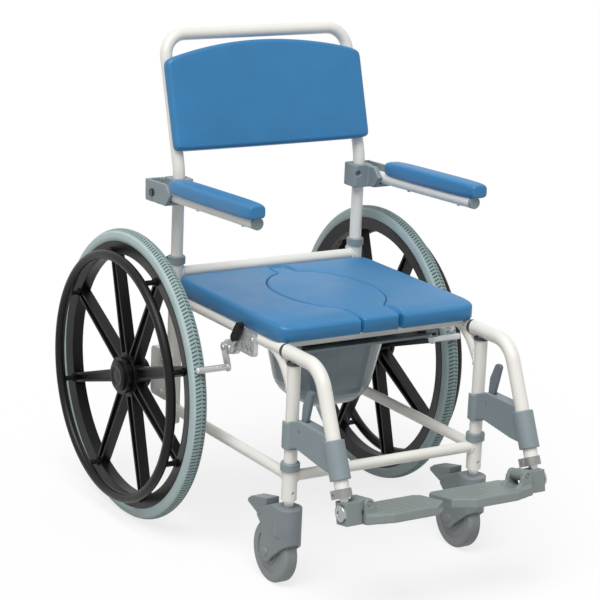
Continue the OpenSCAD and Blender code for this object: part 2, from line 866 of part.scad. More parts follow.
// Arm that swings the shoe rod against the tread
module brake_shoe() {
    shoe_l = wheel_x + shoe_reach - brake_blade_x;
    difference() {
        union() {
            linear_extrude(brake_blade_t) {
                circle(d = brake_hub_d);
                bar_2d([0, 0], [-arm_back, -arm_up], shoe_d + brake_blade_t);
            }
            translate([-arm_back, -arm_up, 0]) cylinder(d = shoe_d, h = shoe_l);
        }
        translate([0, 0, -over]) cylinder(d = brake_pin_d + 2 * run_fit, h = brake_blade_t + 2 * over);
    }
}

module shoe_place(side) {
    on_side(side) translate([brake_blade_x, brake_arm_y, brake_arm_z]) side_plane() children();
}

module left_brake_lever() color(steel_colour) lever_place(-1) brake_lever();
module right_brake_lever() color(steel_colour) lever_place(1) brake_lever();
module left_brake_grip() color(dark_colour) lever_place(-1) brake_grip();
module right_brake_grip() color(dark_colour) lever_place(1) brake_grip();
module left_brake_shoe() color(steel_colour) shoe_place(-1) brake_shoe();
module right_brake_shoe() color(steel_colour) shoe_place(1) brake_shoe();

// Back frame

post_insert = 96;
back_bend_r = 100;
corner_r = 46;
lean_y = post_y + back_bend_r * (1 - cos(back_lean));
lean_z = back_bend_z + back_bend_r * sin(back_lean);
lean_l = (push_bar_z - lean_z) / cos(back_lean);

// Plane of the leaning back: x across, y up along the tubes, z forward
module lean_plane() translate([0, lean_y, lean_z]) rotate([90 - back_lean, 0, 0]) children();

// Inverted U of tube: two posts, their lean, and the push bar with its corners
module back_frame() {
    foot = rear_leg_top - post_insert;
    color(frame_colour) {
        both_sides() {
            translate([side_x, post_y, foot]) tube(back_d, tube_wall, back_bend_z - foot + over);
            translate([side_x, post_y + back_bend_r, back_bend_z]) side_plane()
                rotate(180 - back_lean) bent_tube(back_d, tube_wall, back_bend_r, back_lean);
            lean_plane() translate([side_x, -over, 0]) along_y()
                tube(back_d, tube_wall, lean_l - corner_r + 2 * over);
            lean_plane() translate([side_x - corner_r, lean_l - corner_r, 0])
                bent_tube(back_d, tube_wall, corner_r, 90);
        }
        lean_plane() translate([corner_r - side_x - over, lean_l, 0]) along_x()
            tube(back_d, tube_wall, frame_w - 2 * corner_r + 2 * over);
    }
}

back_pad_clear = 7.5;
back_pad_up = lean_l - back_d / 2 - back_pad_clear - back_pad_arch - back_pad_h;
back_pad_sag = 10;
back_pad_round = 8;
back_pad_set = 2;
back_pad_stations = 8;
back_pad_points = 24;
back_pad_flat_share = 0.34;

// Rebate over a tube, drawn as a fan of flats that stand clear of it
rebate_turns = [30, 60, 90];
rebate_r = (back_d / 2 + gap) / cos(rebate_turns[0] / 2);

// Place across the pad and amount of edge rounding: even steps, the rebate, then a quarter turn at each side
back_pad_run = back_pad_w / 2 - back_pad_round;
back_pad_level = min(side_x - rebate_r, back_pad_run);
back_pad_half_steps = concat(
    [for (k = [1:back_pad_stations]) [back_pad_level * k / back_pad_stations, 0]],
    [for (t = rebate_turns) if (side_x - rebate_r * cos(t) < back_pad_run) [side_x - rebate_r * cos(t), 0]],
    [for (a = [1, 28, 55, 80]) [back_pad_run + back_pad_round * sin(a), a]]
);
back_pad_count = len(back_pad_half_steps);
back_pad_steps = concat(
    [for (k = [1:back_pad_count]) let (s = back_pad_half_steps[back_pad_count - k]) [-s[0], s[1]]],
    [[0, 0]], back_pad_half_steps
);

// How far forward a tube stands behind a place across the pad
function rebate(x) =
    let (d = max(0, side_x - abs(x)))
    d < rebate_r ? sqrt(rebate_r * rebate_r - d * d) : -rebate_r;

function back_pad_ring(x, a) =
    let (
        u = 2 * x / back_pad_w,
        low = back_pad_up + back_pad_round * (1 - cos(a)),
        high = back_pad_up + back_pad_h + back_pad_arch * (1 - u * u) - back_pad_round * (1 - cos(a)),
        bow = back_pad_set + back_pad_sag * (u * u - pow(frame_w / back_pad_w, 2)),
        rear = max(bow, rebate(x)),
        front = bow + back_pad_t,
        depth = (front - rear) / 2 * pow(cos(a), back_pad_flat_share)
    )
    [for (k = [0:back_pad_points - 1]) let (t = 360 * k / back_pad_points) [
        x,
        (low + high) / 2 + (high - low) / 2 * spow(cos(t), back_pad_flat_share),
        (front + rear) / 2 + depth * spow(sin(t), back_pad_flat_share)
    ]];

// Backrest with an arched top, rounded edges and a shallow hollow across
module backrest_pad() {
    color(pad_colour) lean_plane() skin([for (s = back_pad_steps) back_pad_ring(s[0], s[1])]);
}

knob_d = 40;
knob_t = 16;
knob_lobes = 6;
knob_scallop_d = 15;
knob_neck_d = 18;
knob_neck = 6;
stud_in = socket_d / 2 - tube_wall;

// Lobed clamping knob on a stud that reaches through the rear leg's wall
module back_knob(side) {
    on_side(side) translate([side_x, post_y, knob_z]) along_y() {
        translate([0, 0, post_bore / 2 + gap]) cylinder(d = stud_d, h = nut_boss_y - post_bore / 2 + knob_neck);
        translate([0, 0, nut_boss_y + gap]) cylinder(d = knob_neck_d, h = knob_neck);
        translate([0, 0, nut_boss_y + gap + knob_neck]) linear_extrude(knob_t) difference() {
            circle(d = knob_d);
            for (k = [0:knob_lobes - 1]) rotate(360 * (k + 1 / 2) / knob_lobes)
                translate([knob_d / 2 + knob_scallop_d / 4, 0]) circle(d = knob_scallop_d);
        }
    }
}

module left_back_knob() color(dark_colour) back_knob(-1);
module right_back_knob() color(dark_colour) back_knob(1);

// Armrests, drawn about their pivot with +Y to the back

arm_pivot_back = 12;
arm_pin_d = 8;
arm_lug_l = 34;
arm_pad_start = 76;
arm_pad_shift = 7;
arm_cap_t = 6;
arm_cap_plug = 16;

module arm_place(side) {
    on_side(side) translate([arm_x, post_y + arm_pivot_back, arm_z]) rotate([-arm_rise, 0, 0]) children();
}

module ahead() rotate([90, 0, 0]) children();

// Arm tube with a solid rounded lug for its pivot
module arm_tube() {
    difference() {
        union() {
            ahead() cylinder(d = arm_d, h = arm_l);
            translate([-arm_d / 2, 0, 0]) along_x() cylinder(d = arm_d, h = arm_d);
        }
        translate([0, -arm_lug_l, 0]) ahead() cylinder(d = arm_d - 2 * tube_wall, h = arm_l);
        translate([-arm_d, 0, 0]) along_x() cylinder(d = arm_pin_d + 2 * run_fit, h = 2 * arm_d);
    }
}

module arm_cap() {
    translate([0, -arm_l, 0]) {
        ahead() cylinder(d = arm_d, h = arm_cap_t);
        translate([0, arm_cap_plug, 0]) ahead()
            cylinder(d = arm_d - 2 * tube_wall - 2 * fixed_fit, h = arm_cap_plug + arm_cap_t);
    }
}

arm_pad_points = 20;
arm_pad_end_share = 0.14;
arm_pad_run_share = 0.4;
arm_pad_side_share = 0.5;
arm_pad_low_share = 0.38;
arm_pad_angles = [-86, -74, -60, -42, -22, 0, 22, 42, 60, 74, 86];

// Arm pad with bluff round ends and a crowned top
function arm_pad_ring(a) =
    let (
        run = arm_pad_l / 2 * spow(sin(a), arm_pad_run_share),
        swell = pow(cos(a), arm_pad_end_share)
    )
    [for (k = [0:arm_pad_points - 1]) let (
        t = 360 * k / arm_pad_points,
        rise = sin(t) > 0 ? 1 - arm_pad_low_share : arm_pad_low_share
    ) [
        arm_pad_shift + arm_pad_w / 2 * swell * spow(cos(t), arm_pad_side_share),
        -arm_pad_start - arm_pad_l / 2 + run,
        arm_d / 2 + gap + arm_pad_h * (arm_pad_low_share + rise * swell * spow(sin(t), arm_pad_side_share))
    ]];

module arm_pad() skin([for (a = arm_pad_angles) arm_pad_ring(a)]);

cheek_t = 7;
cheek_back = 31;
cheek_front = 75;
cheek_up = 24;
cheek_down = 20;
cheek_slope = 20;
cheek_nose = 3;
bracket_block_w = 46;
bracket_block_r = 6;
bracket_recess_d = 12;
bracket_recess_in = 14;
bracket_recess_up = 30;
bracket_recess_depth = 8;
bracket_collar_h = 48;
floor_start = 18;
back_wall_t = 7;

module cheek_2d() {
    polygon([
        [cheek_back, cheek_up], [cheek_back, -cheek_down], [cheek_slope - cheek_front, -cheek_down],
        [-cheek_front, cheek_nose], [cheek_slope - cheek_front, cheek_up]
    ]);
}

// Moulded bracket: a block on the back tube with a screw recess, and a channel that the arm turns in
module arm_brackets() {
    inner = arm_d / 2 + gap;
    web = arm_x - side_x - inner;
    collar_z = arm_z - cheek_down;
    color(moulding_colour) both_sides() difference() {
        union() {
            translate([side_x, post_y, collar_z]) linear_extrude(bracket_collar_h)
                rounded_2d(bracket_block_w, bracket_block_w, bracket_block_r);
            arm_place(1) {
                for (x = [-inner - web / 2, inner]) translate([x, 0, 0]) side_plane()
                    linear_extrude(x > 0 ? cheek_t : web / 2) cheek_2d();
                translate([-inner - over, cheek_back - back_wall_t, -cheek_down])
                    cube([2 * inner + 2 * over, back_wall_t, cheek_up + cheek_down]);
                translate([-inner - over, cheek_slope - cheek_front, -cheek_down])
                    cube([2 * inner + 2 * over, cheek_front - cheek_slope - floor_start, cheek_down - inner]);
            }
        }
        translate([side_x, post_y, collar_z - bracket_collar_h])
            cylinder(d = back_d + 2 * fixed_fit, h = 3 * bracket_collar_h);
        arm_place(1) translate([-inner - web / 2 - over, 0, 0]) along_x()
            cylinder(d = arm_pin_d + 2 * fixed_fit, h = 2 * inner + web + cheek_t);
        arm_place(1) translate([-inner, -arm_l, -inner]) cube([2 * inner, arm_l + inner, arm_l]);
        translate([side_x - bracket_recess_in, post_y - bracket_block_w / 2 - over, collar_z + bracket_recess_up])
            along_y() cylinder(d = bracket_recess_d, h = bracket_recess_depth + over);
    }
}

pivot_head_d = 15;
pivot_head_t = 4;

// Headed pins that the arms turn on
module arm_pivots() {
    inner = arm_d / 2 + gap;
    pin_l = 2 * inner + cheek_t + cheek_t / 2;
    color(steel_colour) both_sides() arm_place(1) translate([inner + cheek_t, 0, 0]) along_x() {
        translate([0, 0, -pin_l]) cylinder(d = arm_pin_d, h = pin_l);
        cylinder(d = pivot_head_d, h = pivot_head_t);
    }
}

module left_arm_tube() color(frame_colour) arm_place(-1) arm_tube();
module right_arm_tube() color(frame_colour) arm_place(1) arm_tube();
module left_arm_pad() color(pad_colour) arm_place(-1) arm_pad();
module right_arm_pad() color(pad_colour) arm_place(1) arm_pad();
module left_arm_cap() color(moulding_colour) arm_place(-1) arm_cap();
module right_arm_cap() color(moulding_colour) arm_place(1) arm_cap();

// Legrests, drawn in the leg's side plane with the leg's axis at y = 0

pin_below = 6;
end_wall = 6;
sleeve_l = 60;

module leg_place(side) on_side(side) translate([side_x, leg_y, 0]) children();

// Frame at the top of the hanger's straight drop, with +Z down along the tube
module drop_frame() {
    side_plane() translate([-bend_end_y, bend_end_z]) rotate(hanger_bend) rotate([0, -90, 0]) children();
}

// Bent hanger tube with its pivot pin, a closed rear end and a guide sleeve for the stem
module hanger() {
    level_l = hanger_back + hanger_level + over;
    bore_d = hanger_d - 2 * tube_wall;
    intersection() {
        translate([0, hanger_back, hanger_z]) ahead() difference() {
            cylinder(d = hanger_d, h = level_l);
            translate([0, 0, end_wall]) cylinder(d = bore_d, h = level_l);
        }
        union() {
            translate([0, 0, hanger_z - hanger_d]) cylinder(r = hanger_back, h = 2 * hanger_d);
            translate([-hanger_d, -level_l, hanger_z - hanger_d]) cube([2 * hanger_d, level_l, 2 * hanger_d]);
        }
    }
    side_plane() translate([-hanger_level, hanger_z - hanger_bend_r]) rotate(90)
        bent_tube(hanger_d, tube_wall, hanger_bend_r, hanger_bend);
    drop_frame() difference() {
        translate([0, 0, -over]) cylinder(d = hanger_d, h = hanger_drop + over);
        translate([0, 0, -2 * over]) cylinder(d = bore_d, h = hanger_drop - sleeve_l + 2 * over);
        cylinder(d = stem_d + 2 * run_fit, h = hanger_drop + over);
    }
    translate([0, 0, leg_top - bush_depth - pin_below])
        cylinder(d = pin_d, h = hanger_z - hanger_d / 2 + tube_wall / 2 - leg_top + bush_depth + pin_below);
}

cuff_z = 285;
cuff_h = 53;
cuff_d = 37;
cuff_mouth = 23;
web_w = 26;
ridge_y = 44;
ridge_z = 353;
belly_y = 36;
belly_z = 296;
nose_cuff_d = 40;
nose_start = 97;
nose_l = 74;
knee_y = 132;
lever_pin_d = 6;
lever_pin_y = 44;
lever_pin_z = 332;
lever_slot_back = 12;
lever_slot_front = 16;
lever_slot_depth = 14;
lever_t = 8;

// Moulded latch bracket: an open cuff on the leg, a web with the lever slot, and a cuff on the hanger
module hanger_bracket() {
    slot_w = lever_t + 2 * gap;
    difference() {
        union() {
            translate([0, 0, cuff_z]) cylinder(d = cuff_d, h = cuff_h);
            translate([-web_w / 2, 0, 0]) side_plane() linear_extrude(web_w) polygon([
                [0, cuff_z + cuff_h], [-ridge_y, ridge_z], [-knee_y, ridge_z], [-bend_end_y - nose_l / 2, ridge_z],
                [-bend_end_y - nose_l, cuff_z], [-knee_y, cuff_z], [-belly_y, belly_z], [0, cuff_z]
            ]);
            drop_frame() translate([0, 0, nose_start]) cylinder(d = nose_cuff_d, h = nose_l);
        }
        drop_frame() cylinder(d = hanger_d + 2 * fixed_fit, h = hanger_drop);
        cylinder(d = leg_d + 2 * gap, h = seat_top);
        translate([-cuff_mouth / 2, 0, 0]) cube([cuff_mouth, cuff_d, seat_top]);
        translate([-slot_w / 2, -lever_pin_y - lever_slot_front, lever_pin_z - lever_slot_depth])
            cube([slot_w, lever_slot_front + lever_slot_back, seat_top]);
        translate([-web_w, -lever_pin_y, lever_pin_z]) along_x()
            cylinder(d = lever_pin_d + 2 * run_fit, h = 2 * web_w);
    }
}

lever_bend = [-9, 50];
lever_end = [-20, 84];
lever_boss_d = 16;
lever_half = 6.5;
lever_mid_half = 12;
lever_tip_half = 9;
lever_bevel = 4;

// Release lever with its own trunnions
module latch_lever() {
    translate([0, -lever_pin_y, lever_pin_z]) {
        translate([-lever_t / 2, 0, 0]) side_plane() linear_extrude(lever_t) {
            circle(d = lever_boss_d);
            polygon([
                [-lever_half, 0], lever_bend - [lever_mid_half, 0], lever_end - [lever_tip_half, lever_bevel],
                lever_end - [lever_tip_half - lever_bevel, 0], lever_end + [lever_tip_half - lever_bevel, 0],
                lever_end + [lever_tip_half, -lever_bevel], lever_bend + [lever_mid_half, 0], [lever_half, 0]
            ]);
        }
        translate([-web_w / 2, 0, 0]) along_x() cylinder(d = lever_pin_d, h = web_w);
    }
}

clamp_d = 34;
band_h = 17;
ear_w = 5;
ear_l = 24;
ear_hole_d = 5;

// Band clamp under the hanger's end, with an ear behind
module stem_clamp() {
    drop_frame() translate([0, 0, hanger_drop]) difference() {
        union() {
            cylinder(d = clamp_d, h = band_h);
            translate([-ear_w / 2, -clamp_d / 2 - ear_l, 0]) cube([ear_w, clamp_d / 2 + ear_l, band_h]);
        }
        translate([0, 0, -over]) cylinder(d = stem_d + 2 * run_fit, h = band_h + 2 * over);
        translate([-ear_w, -clamp_d / 2 - ear_l * 2 / 3, band_h / 2]) along_x()
            cylinder(d = ear_hole_d, h = 2 * ear_w);
    }
}

module left_hanger() color(frame_colour) leg_place(-1) hanger();
module right_hanger() color(frame_colour) leg_place(1) hanger();
module left_hanger_bracket() color(moulding_colour) leg_place(-1) hanger_bracket();
module right_hanger_bracket() color(moulding_colour) leg_place(1) hanger_bracket();
module left_latch_lever() color(moulding_colour) leg_place(-1) latch_lever();
module right_latch_lever() color(moulding_colour) leg_place(1) latch_lever();
module left_stem_clamp() color(steel_colour) leg_place(-1) stem_clamp();
module right_stem_clamp() color(steel_colour) leg_place(1) stem_clamp();

// Footrests, drawn about the block's centre on the stem and tilted with the plate

stem_in = 90;
stem_below = 10;
block_w_in = 24;
block_w_out = 11;
block_half = 18;
block_up = 14;
block_down = 30;
hinge_in = 36;
hinge_up = 7;
hinge_d = 22;
hinge_pin_d = 8;
ear_t = 9;
foot_bolt_d = 32;
foot_bolt_t = 4;
foot_shank_d = 10;
foot_shank_l = 8;
foot_bolt_ahead = 2.5;
foot_bolt_down = 6;

module foot_frame() translate([0, -block_y, block_z]) rotate([-foot_tilt, 0, 0]) children();

// Stem that slides in the hanger, and the large-headed bolt in the block's outer side
module foot_stem() {
    drop_frame() translate([0, 0, hanger_drop - stem_in])
        cylinder(d = stem_d, h = stem_in + block_along + stem_below);
    foot_frame() translate([block_w_out, -foot_bolt_ahead, -foot_bolt_down]) along_x() {
        cylinder(d = foot_bolt_d, h = foot_bolt_t);
        translate([0, 0, -foot_shank_l]) cylinder(d = foot_shank_d, h = foot_shank_l);
    }
}

// Hinge block on the stem, with a barrel and two trunnions for the footplate
module foot_block() {
    difference() {
        foot_frame() {
            translate([-block_w_in, -block_half, -block_down])
                cube([block_w_in + block_w_out, 2 * block_half, block_down + block_up]);
            translate([-hinge_in, -block_half, hinge_up]) along_y() cylinder(d = hinge_d, h = 2 * block_half);
            translate([-hinge_in, -block_half, hinge_up - hinge_d / 2 + over])
                cube([hinge_in - block_w_in + over, 2 * block_half, hinge_d - 2 * over]);
            translate([-hinge_in, -block_half - ear_t - gap, hinge_up]) along_y()
                cylinder(d = hinge_pin_d, h = 2 * (block_half + ear_t + gap));
        }
        drop_frame() cylinder(d = stem_d + 2 * fixed_fit, h = hanger_drop + block_along + stem_below + gap);
        foot_frame() translate([block_w_out - foot_shank_l, -foot_bolt_ahead, -foot_bolt_down]) along_x()
            cylinder(d = foot_shank_d + 2 * fixed_fit, h = block_w_out);
    }
}

plate_mid_gap = 9;
plate_out = 25.5;
plate_front_bevel = 34;
plate_rear_bevel = 12;
plate_flare = 50;
lug_w = 24;
lug_foot = 16;
lug_slope = 6;
plate_top_t = 5;
plate_wall = 5;
pocket_cols = 4;
pocket_rows = 2;
tread_bars = 9;
tread_h = 0.8;
tread_w = 4;
tread_margin = 22;

// Footplate outline, x from the middle of the chair outwards and y from front to back
module plate_2d() {
    inner = plate_mid_gap - side_x;
    rear = plate_d - plate_front;
    polygon([
        [-plate_out, -block_half - gap - ear_t], [-plate_out - plate_flare, -plate_front],
        [inner + plate_front_bevel, -plate_front], [inner, plate_front_bevel - plate_front],
        [inner, rear - plate_rear_bevel], [inner + plate_rear_bevel, rear],
        [-plate_out - plate_rear_bevel, rear], [-plate_out, rear - plate_rear_bevel]
    ]);
}

// Hinge lug in the plane across the hinge: upright outside, swept down to the plate inside
module plate_ear_2d() {
    low = -plate_drop - plate_t;
    inner = -plate_out - lug_w;
    translate([-hinge_in, hinge_up]) circle(d = hinge_d);
    polygon([
        [-plate_out, low], [-plate_out, hinge_up], [inner, hinge_up], [inner - lug_slope / 2, hinge_up - lug_w / 2],
        [inner - lug_slope, lug_slope - plate_drop], [inner - lug_foot, -plate_drop], [inner - lug_foot, low]
    ]);
}

// Moulded footplate: treads above, pockets below, and two ears on the hinge
module footplate() {
    inner = plate_mid_gap - side_x;
    cell_w = (-plate_out - plate_front_bevel - inner) / pocket_cols;
    cell_l = (plate_d - plate_front_bevel) / pocket_rows;
    bar_step = (side_x - plate_mid_gap - plate_out - 2 * tread_margin) / (tread_bars - 1);
    foot_frame() difference() {
        union() {
            translate([0, 0, -plate_drop - plate_t]) linear_extrude(plate_t) plate_2d();
            for (y = [-block_half - gap - ear_t, block_half + gap]) translate([0, y + ear_t, 0]) ahead()
                linear_extrude(ear_t) plate_ear_2d();
            for (k = [0:tread_bars - 1])
                translate([inner + tread_margin + k * bar_step - tread_w / 2, tread_margin - plate_front, -plate_drop])
                    translate([0, 0, -tread_h]) cube([tread_w, plate_d - 2 * tread_margin, 2 * tread_h]);
        }
        for (i = [0:pocket_cols - 1], j = [0:pocket_rows - 1])
            translate([
                inner + plate_front_bevel / 2 + plate_wall + i * cell_w,
                plate_front_bevel / 2 - plate_front + plate_wall + j * cell_l,
                -plate_drop - plate_t - over
            ]) cube([cell_w - plate_wall, cell_l - plate_wall, plate_t - plate_top_t + over]);
        translate([-hinge_in, -plate_d, hinge_up]) along_y()
            cylinder(d = hinge_pin_d + 2 * run_fit, h = 2 * plate_d);
    }
}

module left_foot_stem() color(steel_colour) leg_place(-1) foot_stem();
module right_foot_stem() color(steel_colour) leg_place(1) foot_stem();
module left_foot_block() color(moulding_colour) leg_place(-1) foot_block();
module right_foot_block() color(moulding_colour) leg_place(1) foot_block();
module left_footplate() color(moulding_colour) leg_place(-1) footplate();
module right_footplate() color(moulding_colour) leg_place(1) footplate();

// Pan

pan_back = 138;
pan_y = front_bar_y + pan_back;
pan_corner_r = 84;
pan_foot_r = 66;
pan_taper = 3;
rim_out = 166;
pan_rim_l = 324;
pan_rim_r = 24;

// Tapered tub of round corners, from its foot up to height h, drawn in by a wall
module pan_tub(inset, h) {
    x = pan_w / 2 - pan_corner_r;
    y = pan_l / 2 - pan_corner_r;
    hull() for (i = [-1, 1], j = [-1, 1]) {
        translate([i * x, j * y, h]) cylinder(r = pan_corner_r - inset, h = over, $fn = 32);
        translate([i * (x - pan_taper), j * (y - pan_taper), pan_foot_r]) sphere(r = pan_foot_r - inset, $fn = 32);
    }
}

// Pan with a flat rim that hangs in the runners
module commode_pan() {
    color(pan_colour) translate([0, pan_y, lip_z - pan_h]) difference() {
        union() {
            pan_tub(0, pan_h - over);
            translate([0, 0, pan_h]) linear_extrude(lip_t) rounded_2d(2 * rim_out, pan_rim_l, pan_rim_r);
        }
        pan_tub(pan_wall, pan_h + lip_t);
    }
}

// Seat pad and its infill, both drawn in polar form about the middle of the opening

seat_back_gap = 16;
hole_back = 232;
seat_corner_power = 14;
seat_edge_r = 11;
seat_foot_r = 4;
seat_crown = 4;
seat_stations = 64;
seat_crowding_share = 0.55;
seat_tip = 14;
edge_limit_share = 0.48;
crown_shares = [0.25, 0.5, 0.75];
hole_y = post_y - hole_back;
seat_front = seat_d + seat_back_gap - hole_back;
seat_rear = hole_back - seat_back_gap;

// Distance from the middle to an oval, at an angle from straight ahead
function oval(t, a, b, e) = pow(pow(abs(sin(t)) / a, e) + pow(abs(cos(t)) / b, e), -1 / e);

function seat_edge(t) = oval(t, seat_w / 2, cos(t) > 0 ? seat_front : seat_rear, seat_corner_power);

function hole_edge(t) =
    let (round = oval(t, hole_half_w, hole_half_d, 2))
    cos(t) > 0 ? max(round, min(slot_half_w / max(abs(sin(t)), 0.01), seat_front / cos(t))) : round;

// Cross-section of a pad of a given width: square foot, round shoulders and a crowned top
function pad_section(w) =
    let (e = min(seat_edge_r, w * edge_limit_share), f = min(seat_foot_r, w * edge_limit_share / 2))
    concat(
        [[f, 0], [0, f]],
        [for (a = [0:30:90]) [e - e * cos(a), seat_t - seat_crown - e + e * sin(a)]],
        [for (s = crown_shares) [e + (w - 2 * e) * s, seat_t - seat_crown * pow(2 * s - 1, 2)]],
        [for (a = [90:-30:0]) [w - e + e * cos(a), seat_t - seat_crown - e + e * sin(a)]],
        [[w, f], [w - f, 0]]
    );

tip_angle = atan(slot_half_w / (seat_front - seat_tip));

// Even angles from one tip to the other, crowded towards the seat's four corners
function seat_angle(k) =
    let (t = tip_angle + (360 - 2 * tip_angle) * k / seat_stations)
    t + seat_crowding_share * 45 / PI * sin(4 * t) * sin(180 * k / seat_stations);

function seat_ring(t) =
    let (inner = hole_edge(t), section = pad_section(seat_edge(t) - inner))
    [for (p = section) [-sin(t) * (inner + p[0]), hole_y - cos(t) * (inner + p[0]), seat_bottom + p[1]]];

// Horseshoe pad, open at the front where the infill's tongue lies
module seat_pad() color(pad_colour) skin([for (k = [0:seat_stations]) seat_ring(seat_angle(k))]);

infill_gap = 0.8;
infill_edge_r = 9;
infill_crown = 3;
infill_steps = 46;
slot_angle = atan(slot_half_w / seat_front);
neck_angle = atan(slot_half_w / sqrt(1 - pow(slot_half_w / hole_half_w, 2)) / hole_half_d);
infill_angles = concat(
    [for (k = [-3:3]) slot_angle * k / 3],
    [for (k = [0:infill_steps]) neck_angle + (360 - 2 * neck_angle) * k / infill_steps]
);
infill_top_shares = [0.3, 0.75];

// Ring of the infill, drawn in from its outline by an inset or by a share of its size
function infill_ring(share, inset, z) = [for (t = infill_angles) let (
        r = (hole_edge(t) - infill_gap - inset) * share
    ) [-sin(t) * r, hole_y - cos(t) * r, seat_bottom + z]];

// Drop-in cover of the opening, with a tongue to the front edge
module seat_infill() {
    shoulder = seat_t - infill_crown;
    color(pad_colour) skin(concat(
        [for (s = infill_top_shares) infill_ring(s, infill_edge_r, shoulder + infill_crown * (1 - s * s))],
        [for (a = [90, 60, 30, 0])
            infill_ring(1, infill_edge_r * (1 - cos(a)), shoulder - infill_edge_r * (1 - sin(a)))],
        [infill_ring(1, 0, seat_foot_r), infill_ring(1, seat_foot_r, 0),
            infill_ring(infill_top_shares[0], seat_foot_r, 0)]
    ));
}

front_legs();
rear_legs();
seat_rails();
seat_cross_members();
base_frame();
frame_collars();
legrest_bushes();
pan_runners();
axle_brackets();
axles_and_stems();
brake_brackets();
seat_pad();
seat_infill();
commode_pan();
back_frame();
backrest_pad();
arm_brackets();
arm_pivots();
left_back_knob();
right_back_knob();
left_arm_tube();
right_arm_tube();
left_arm_pad();
right_arm_pad();
left_arm_cap();
right_arm_cap();
left_wheel();
right_wheel();
left_tyre();
right_tyre();
left_handrim();
right_handrim();
left_wheel_bearings();
right_wheel_bearings();
left_castor_fork();
right_castor_fork();
left_castor_wheel();
right_castor_wheel();
left_castor_pedal();
right_castor_pedal();
left_brake_lever();
right_brake_lever();
left_brake_grip();
right_brake_grip();
left_brake_shoe();
right_brake_shoe();
left_hanger();
right_hanger();
left_hanger_bracket();
right_hanger_bracket();
left_stem_clamp();
right_stem_clamp();
left_latch_lever();
right_latch_lever();
left_foot_stem();
right_foot_stem();
left_foot_block();
right_foot_block();
left_footplate();
right_footplate();
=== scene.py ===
import math

import bmesh
import bpy
import numpy as np
from mathutils import Matrix, Vector


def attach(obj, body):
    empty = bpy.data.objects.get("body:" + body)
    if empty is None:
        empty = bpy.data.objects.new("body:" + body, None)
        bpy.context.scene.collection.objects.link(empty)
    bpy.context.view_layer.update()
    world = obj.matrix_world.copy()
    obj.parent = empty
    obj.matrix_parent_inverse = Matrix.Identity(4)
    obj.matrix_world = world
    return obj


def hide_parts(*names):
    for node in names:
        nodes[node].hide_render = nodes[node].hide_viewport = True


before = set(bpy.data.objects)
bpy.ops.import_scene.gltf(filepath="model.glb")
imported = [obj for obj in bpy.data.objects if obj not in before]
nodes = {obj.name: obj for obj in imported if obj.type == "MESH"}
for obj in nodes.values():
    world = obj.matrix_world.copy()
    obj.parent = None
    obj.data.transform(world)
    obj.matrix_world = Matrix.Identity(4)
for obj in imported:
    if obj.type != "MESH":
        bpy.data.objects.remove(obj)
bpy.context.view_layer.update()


# Studio. A grey floor that the camera sees as white, even surroundings, and one broad soft key light high
# on the left. The camera stands where the photograph was taken from, with a long lens.

def linear(colour):
    """Linear RGBA of an sRGB hex colour."""
    v = np.array([int(colour[i:i + 2], 16) for i in (1, 3, 5)]) / 255
    v = np.where(v <= 0.04045, v / 12.92, ((v + 0.055) / 1.055) ** 2.4)
    return (*v.tolist(), 1.0)


def add(tree, kind, settings=None, values=None, links=None):
    """Adds a shader node with its settings, constant inputs and linked inputs."""
    n = tree.nodes.new(kind)
    for key, value in (settings or {}).items():
        setattr(n, key, value)
    for key, value in (values or {}).items():
        n.inputs[key].default_value = value
    for key, source in (links or {}).items():
        tree.links.new(source, n.inputs[key])
    return n


def blank(name):
    """New material with an empty tree."""
    m = bpy.data.materials.new(name)
    m.use_nodes = True
    m.node_tree.nodes.clear()
    return m, m.node_tree


def seen(tree):
    """Whether a ray comes from the camera, straight or by way of a mirror or a clear body."""
    rays = add(tree, "ShaderNodeLightPath").outputs
    mirrored = add(tree, "ShaderNodeMath", {"operation": "MAXIMUM"}, None,
                   {0: rays["Is Glossy Ray"], 1: rays["Is Transmission Ray"]})
    return add(tree, "ShaderNodeMath", {"operation": "MAXIMUM"}, None,
               {0: rays["Is Camera Ray"], 1: mirrored.outputs[0]}).outputs[0]


scene = bpy.context.scene
scene.view_settings.view_transform = "Standard"
surround, backdrop_white = 0.37, 1.0
world = bpy.data.worlds.new("white_surround")
scene.world = world
world.use_nodes = True
world.node_tree.nodes.clear()
level = add(world.node_tree, "ShaderNodeMix", {"data_type": "FLOAT"}, {2: surround, 3: backdrop_white},
            {0: seen(world.node_tree)})
sky = add(world.node_tree, "ShaderNodeBackground", None, {"Color": linear("#FFFFFF")},
          {"Strength": level.outputs[0]})
add(world.node_tree, "ShaderNodeOutputWorld", None, None, {"Surface": sky.outputs[0]})

key_power, key_spread, key_way = 2.65, math.radians(45), Vector((0.42, 0.38, -1))
key = bpy.data.lights.new("key", "SUN")
key.energy = key_power
key.angle = key_spread
key_light = bpy.data.objects.new("key", key)
scene.collection.objects.link(key_light)
key_light.rotation_mode = "QUATERNION"
key_light.rotation_quaternion = key_way.to_track_quat("-Z", "Y")

floor_half, paper_share, paper_glow = 30, 0.6, 1.29
floor_mesh = bpy.data.meshes.new("floor")
floor_mesh.from_pydata([(-floor_half, -floor_half, 0), (floor_half, -floor_half, 0),
                        (floor_half, floor_half, 0), (-floor_half, floor_half, 0)], [], [(0, 1, 2, 3)])
floor = bpy.data.objects.new("floor", floor_mesh)
scene.collection.objects.link(floor)
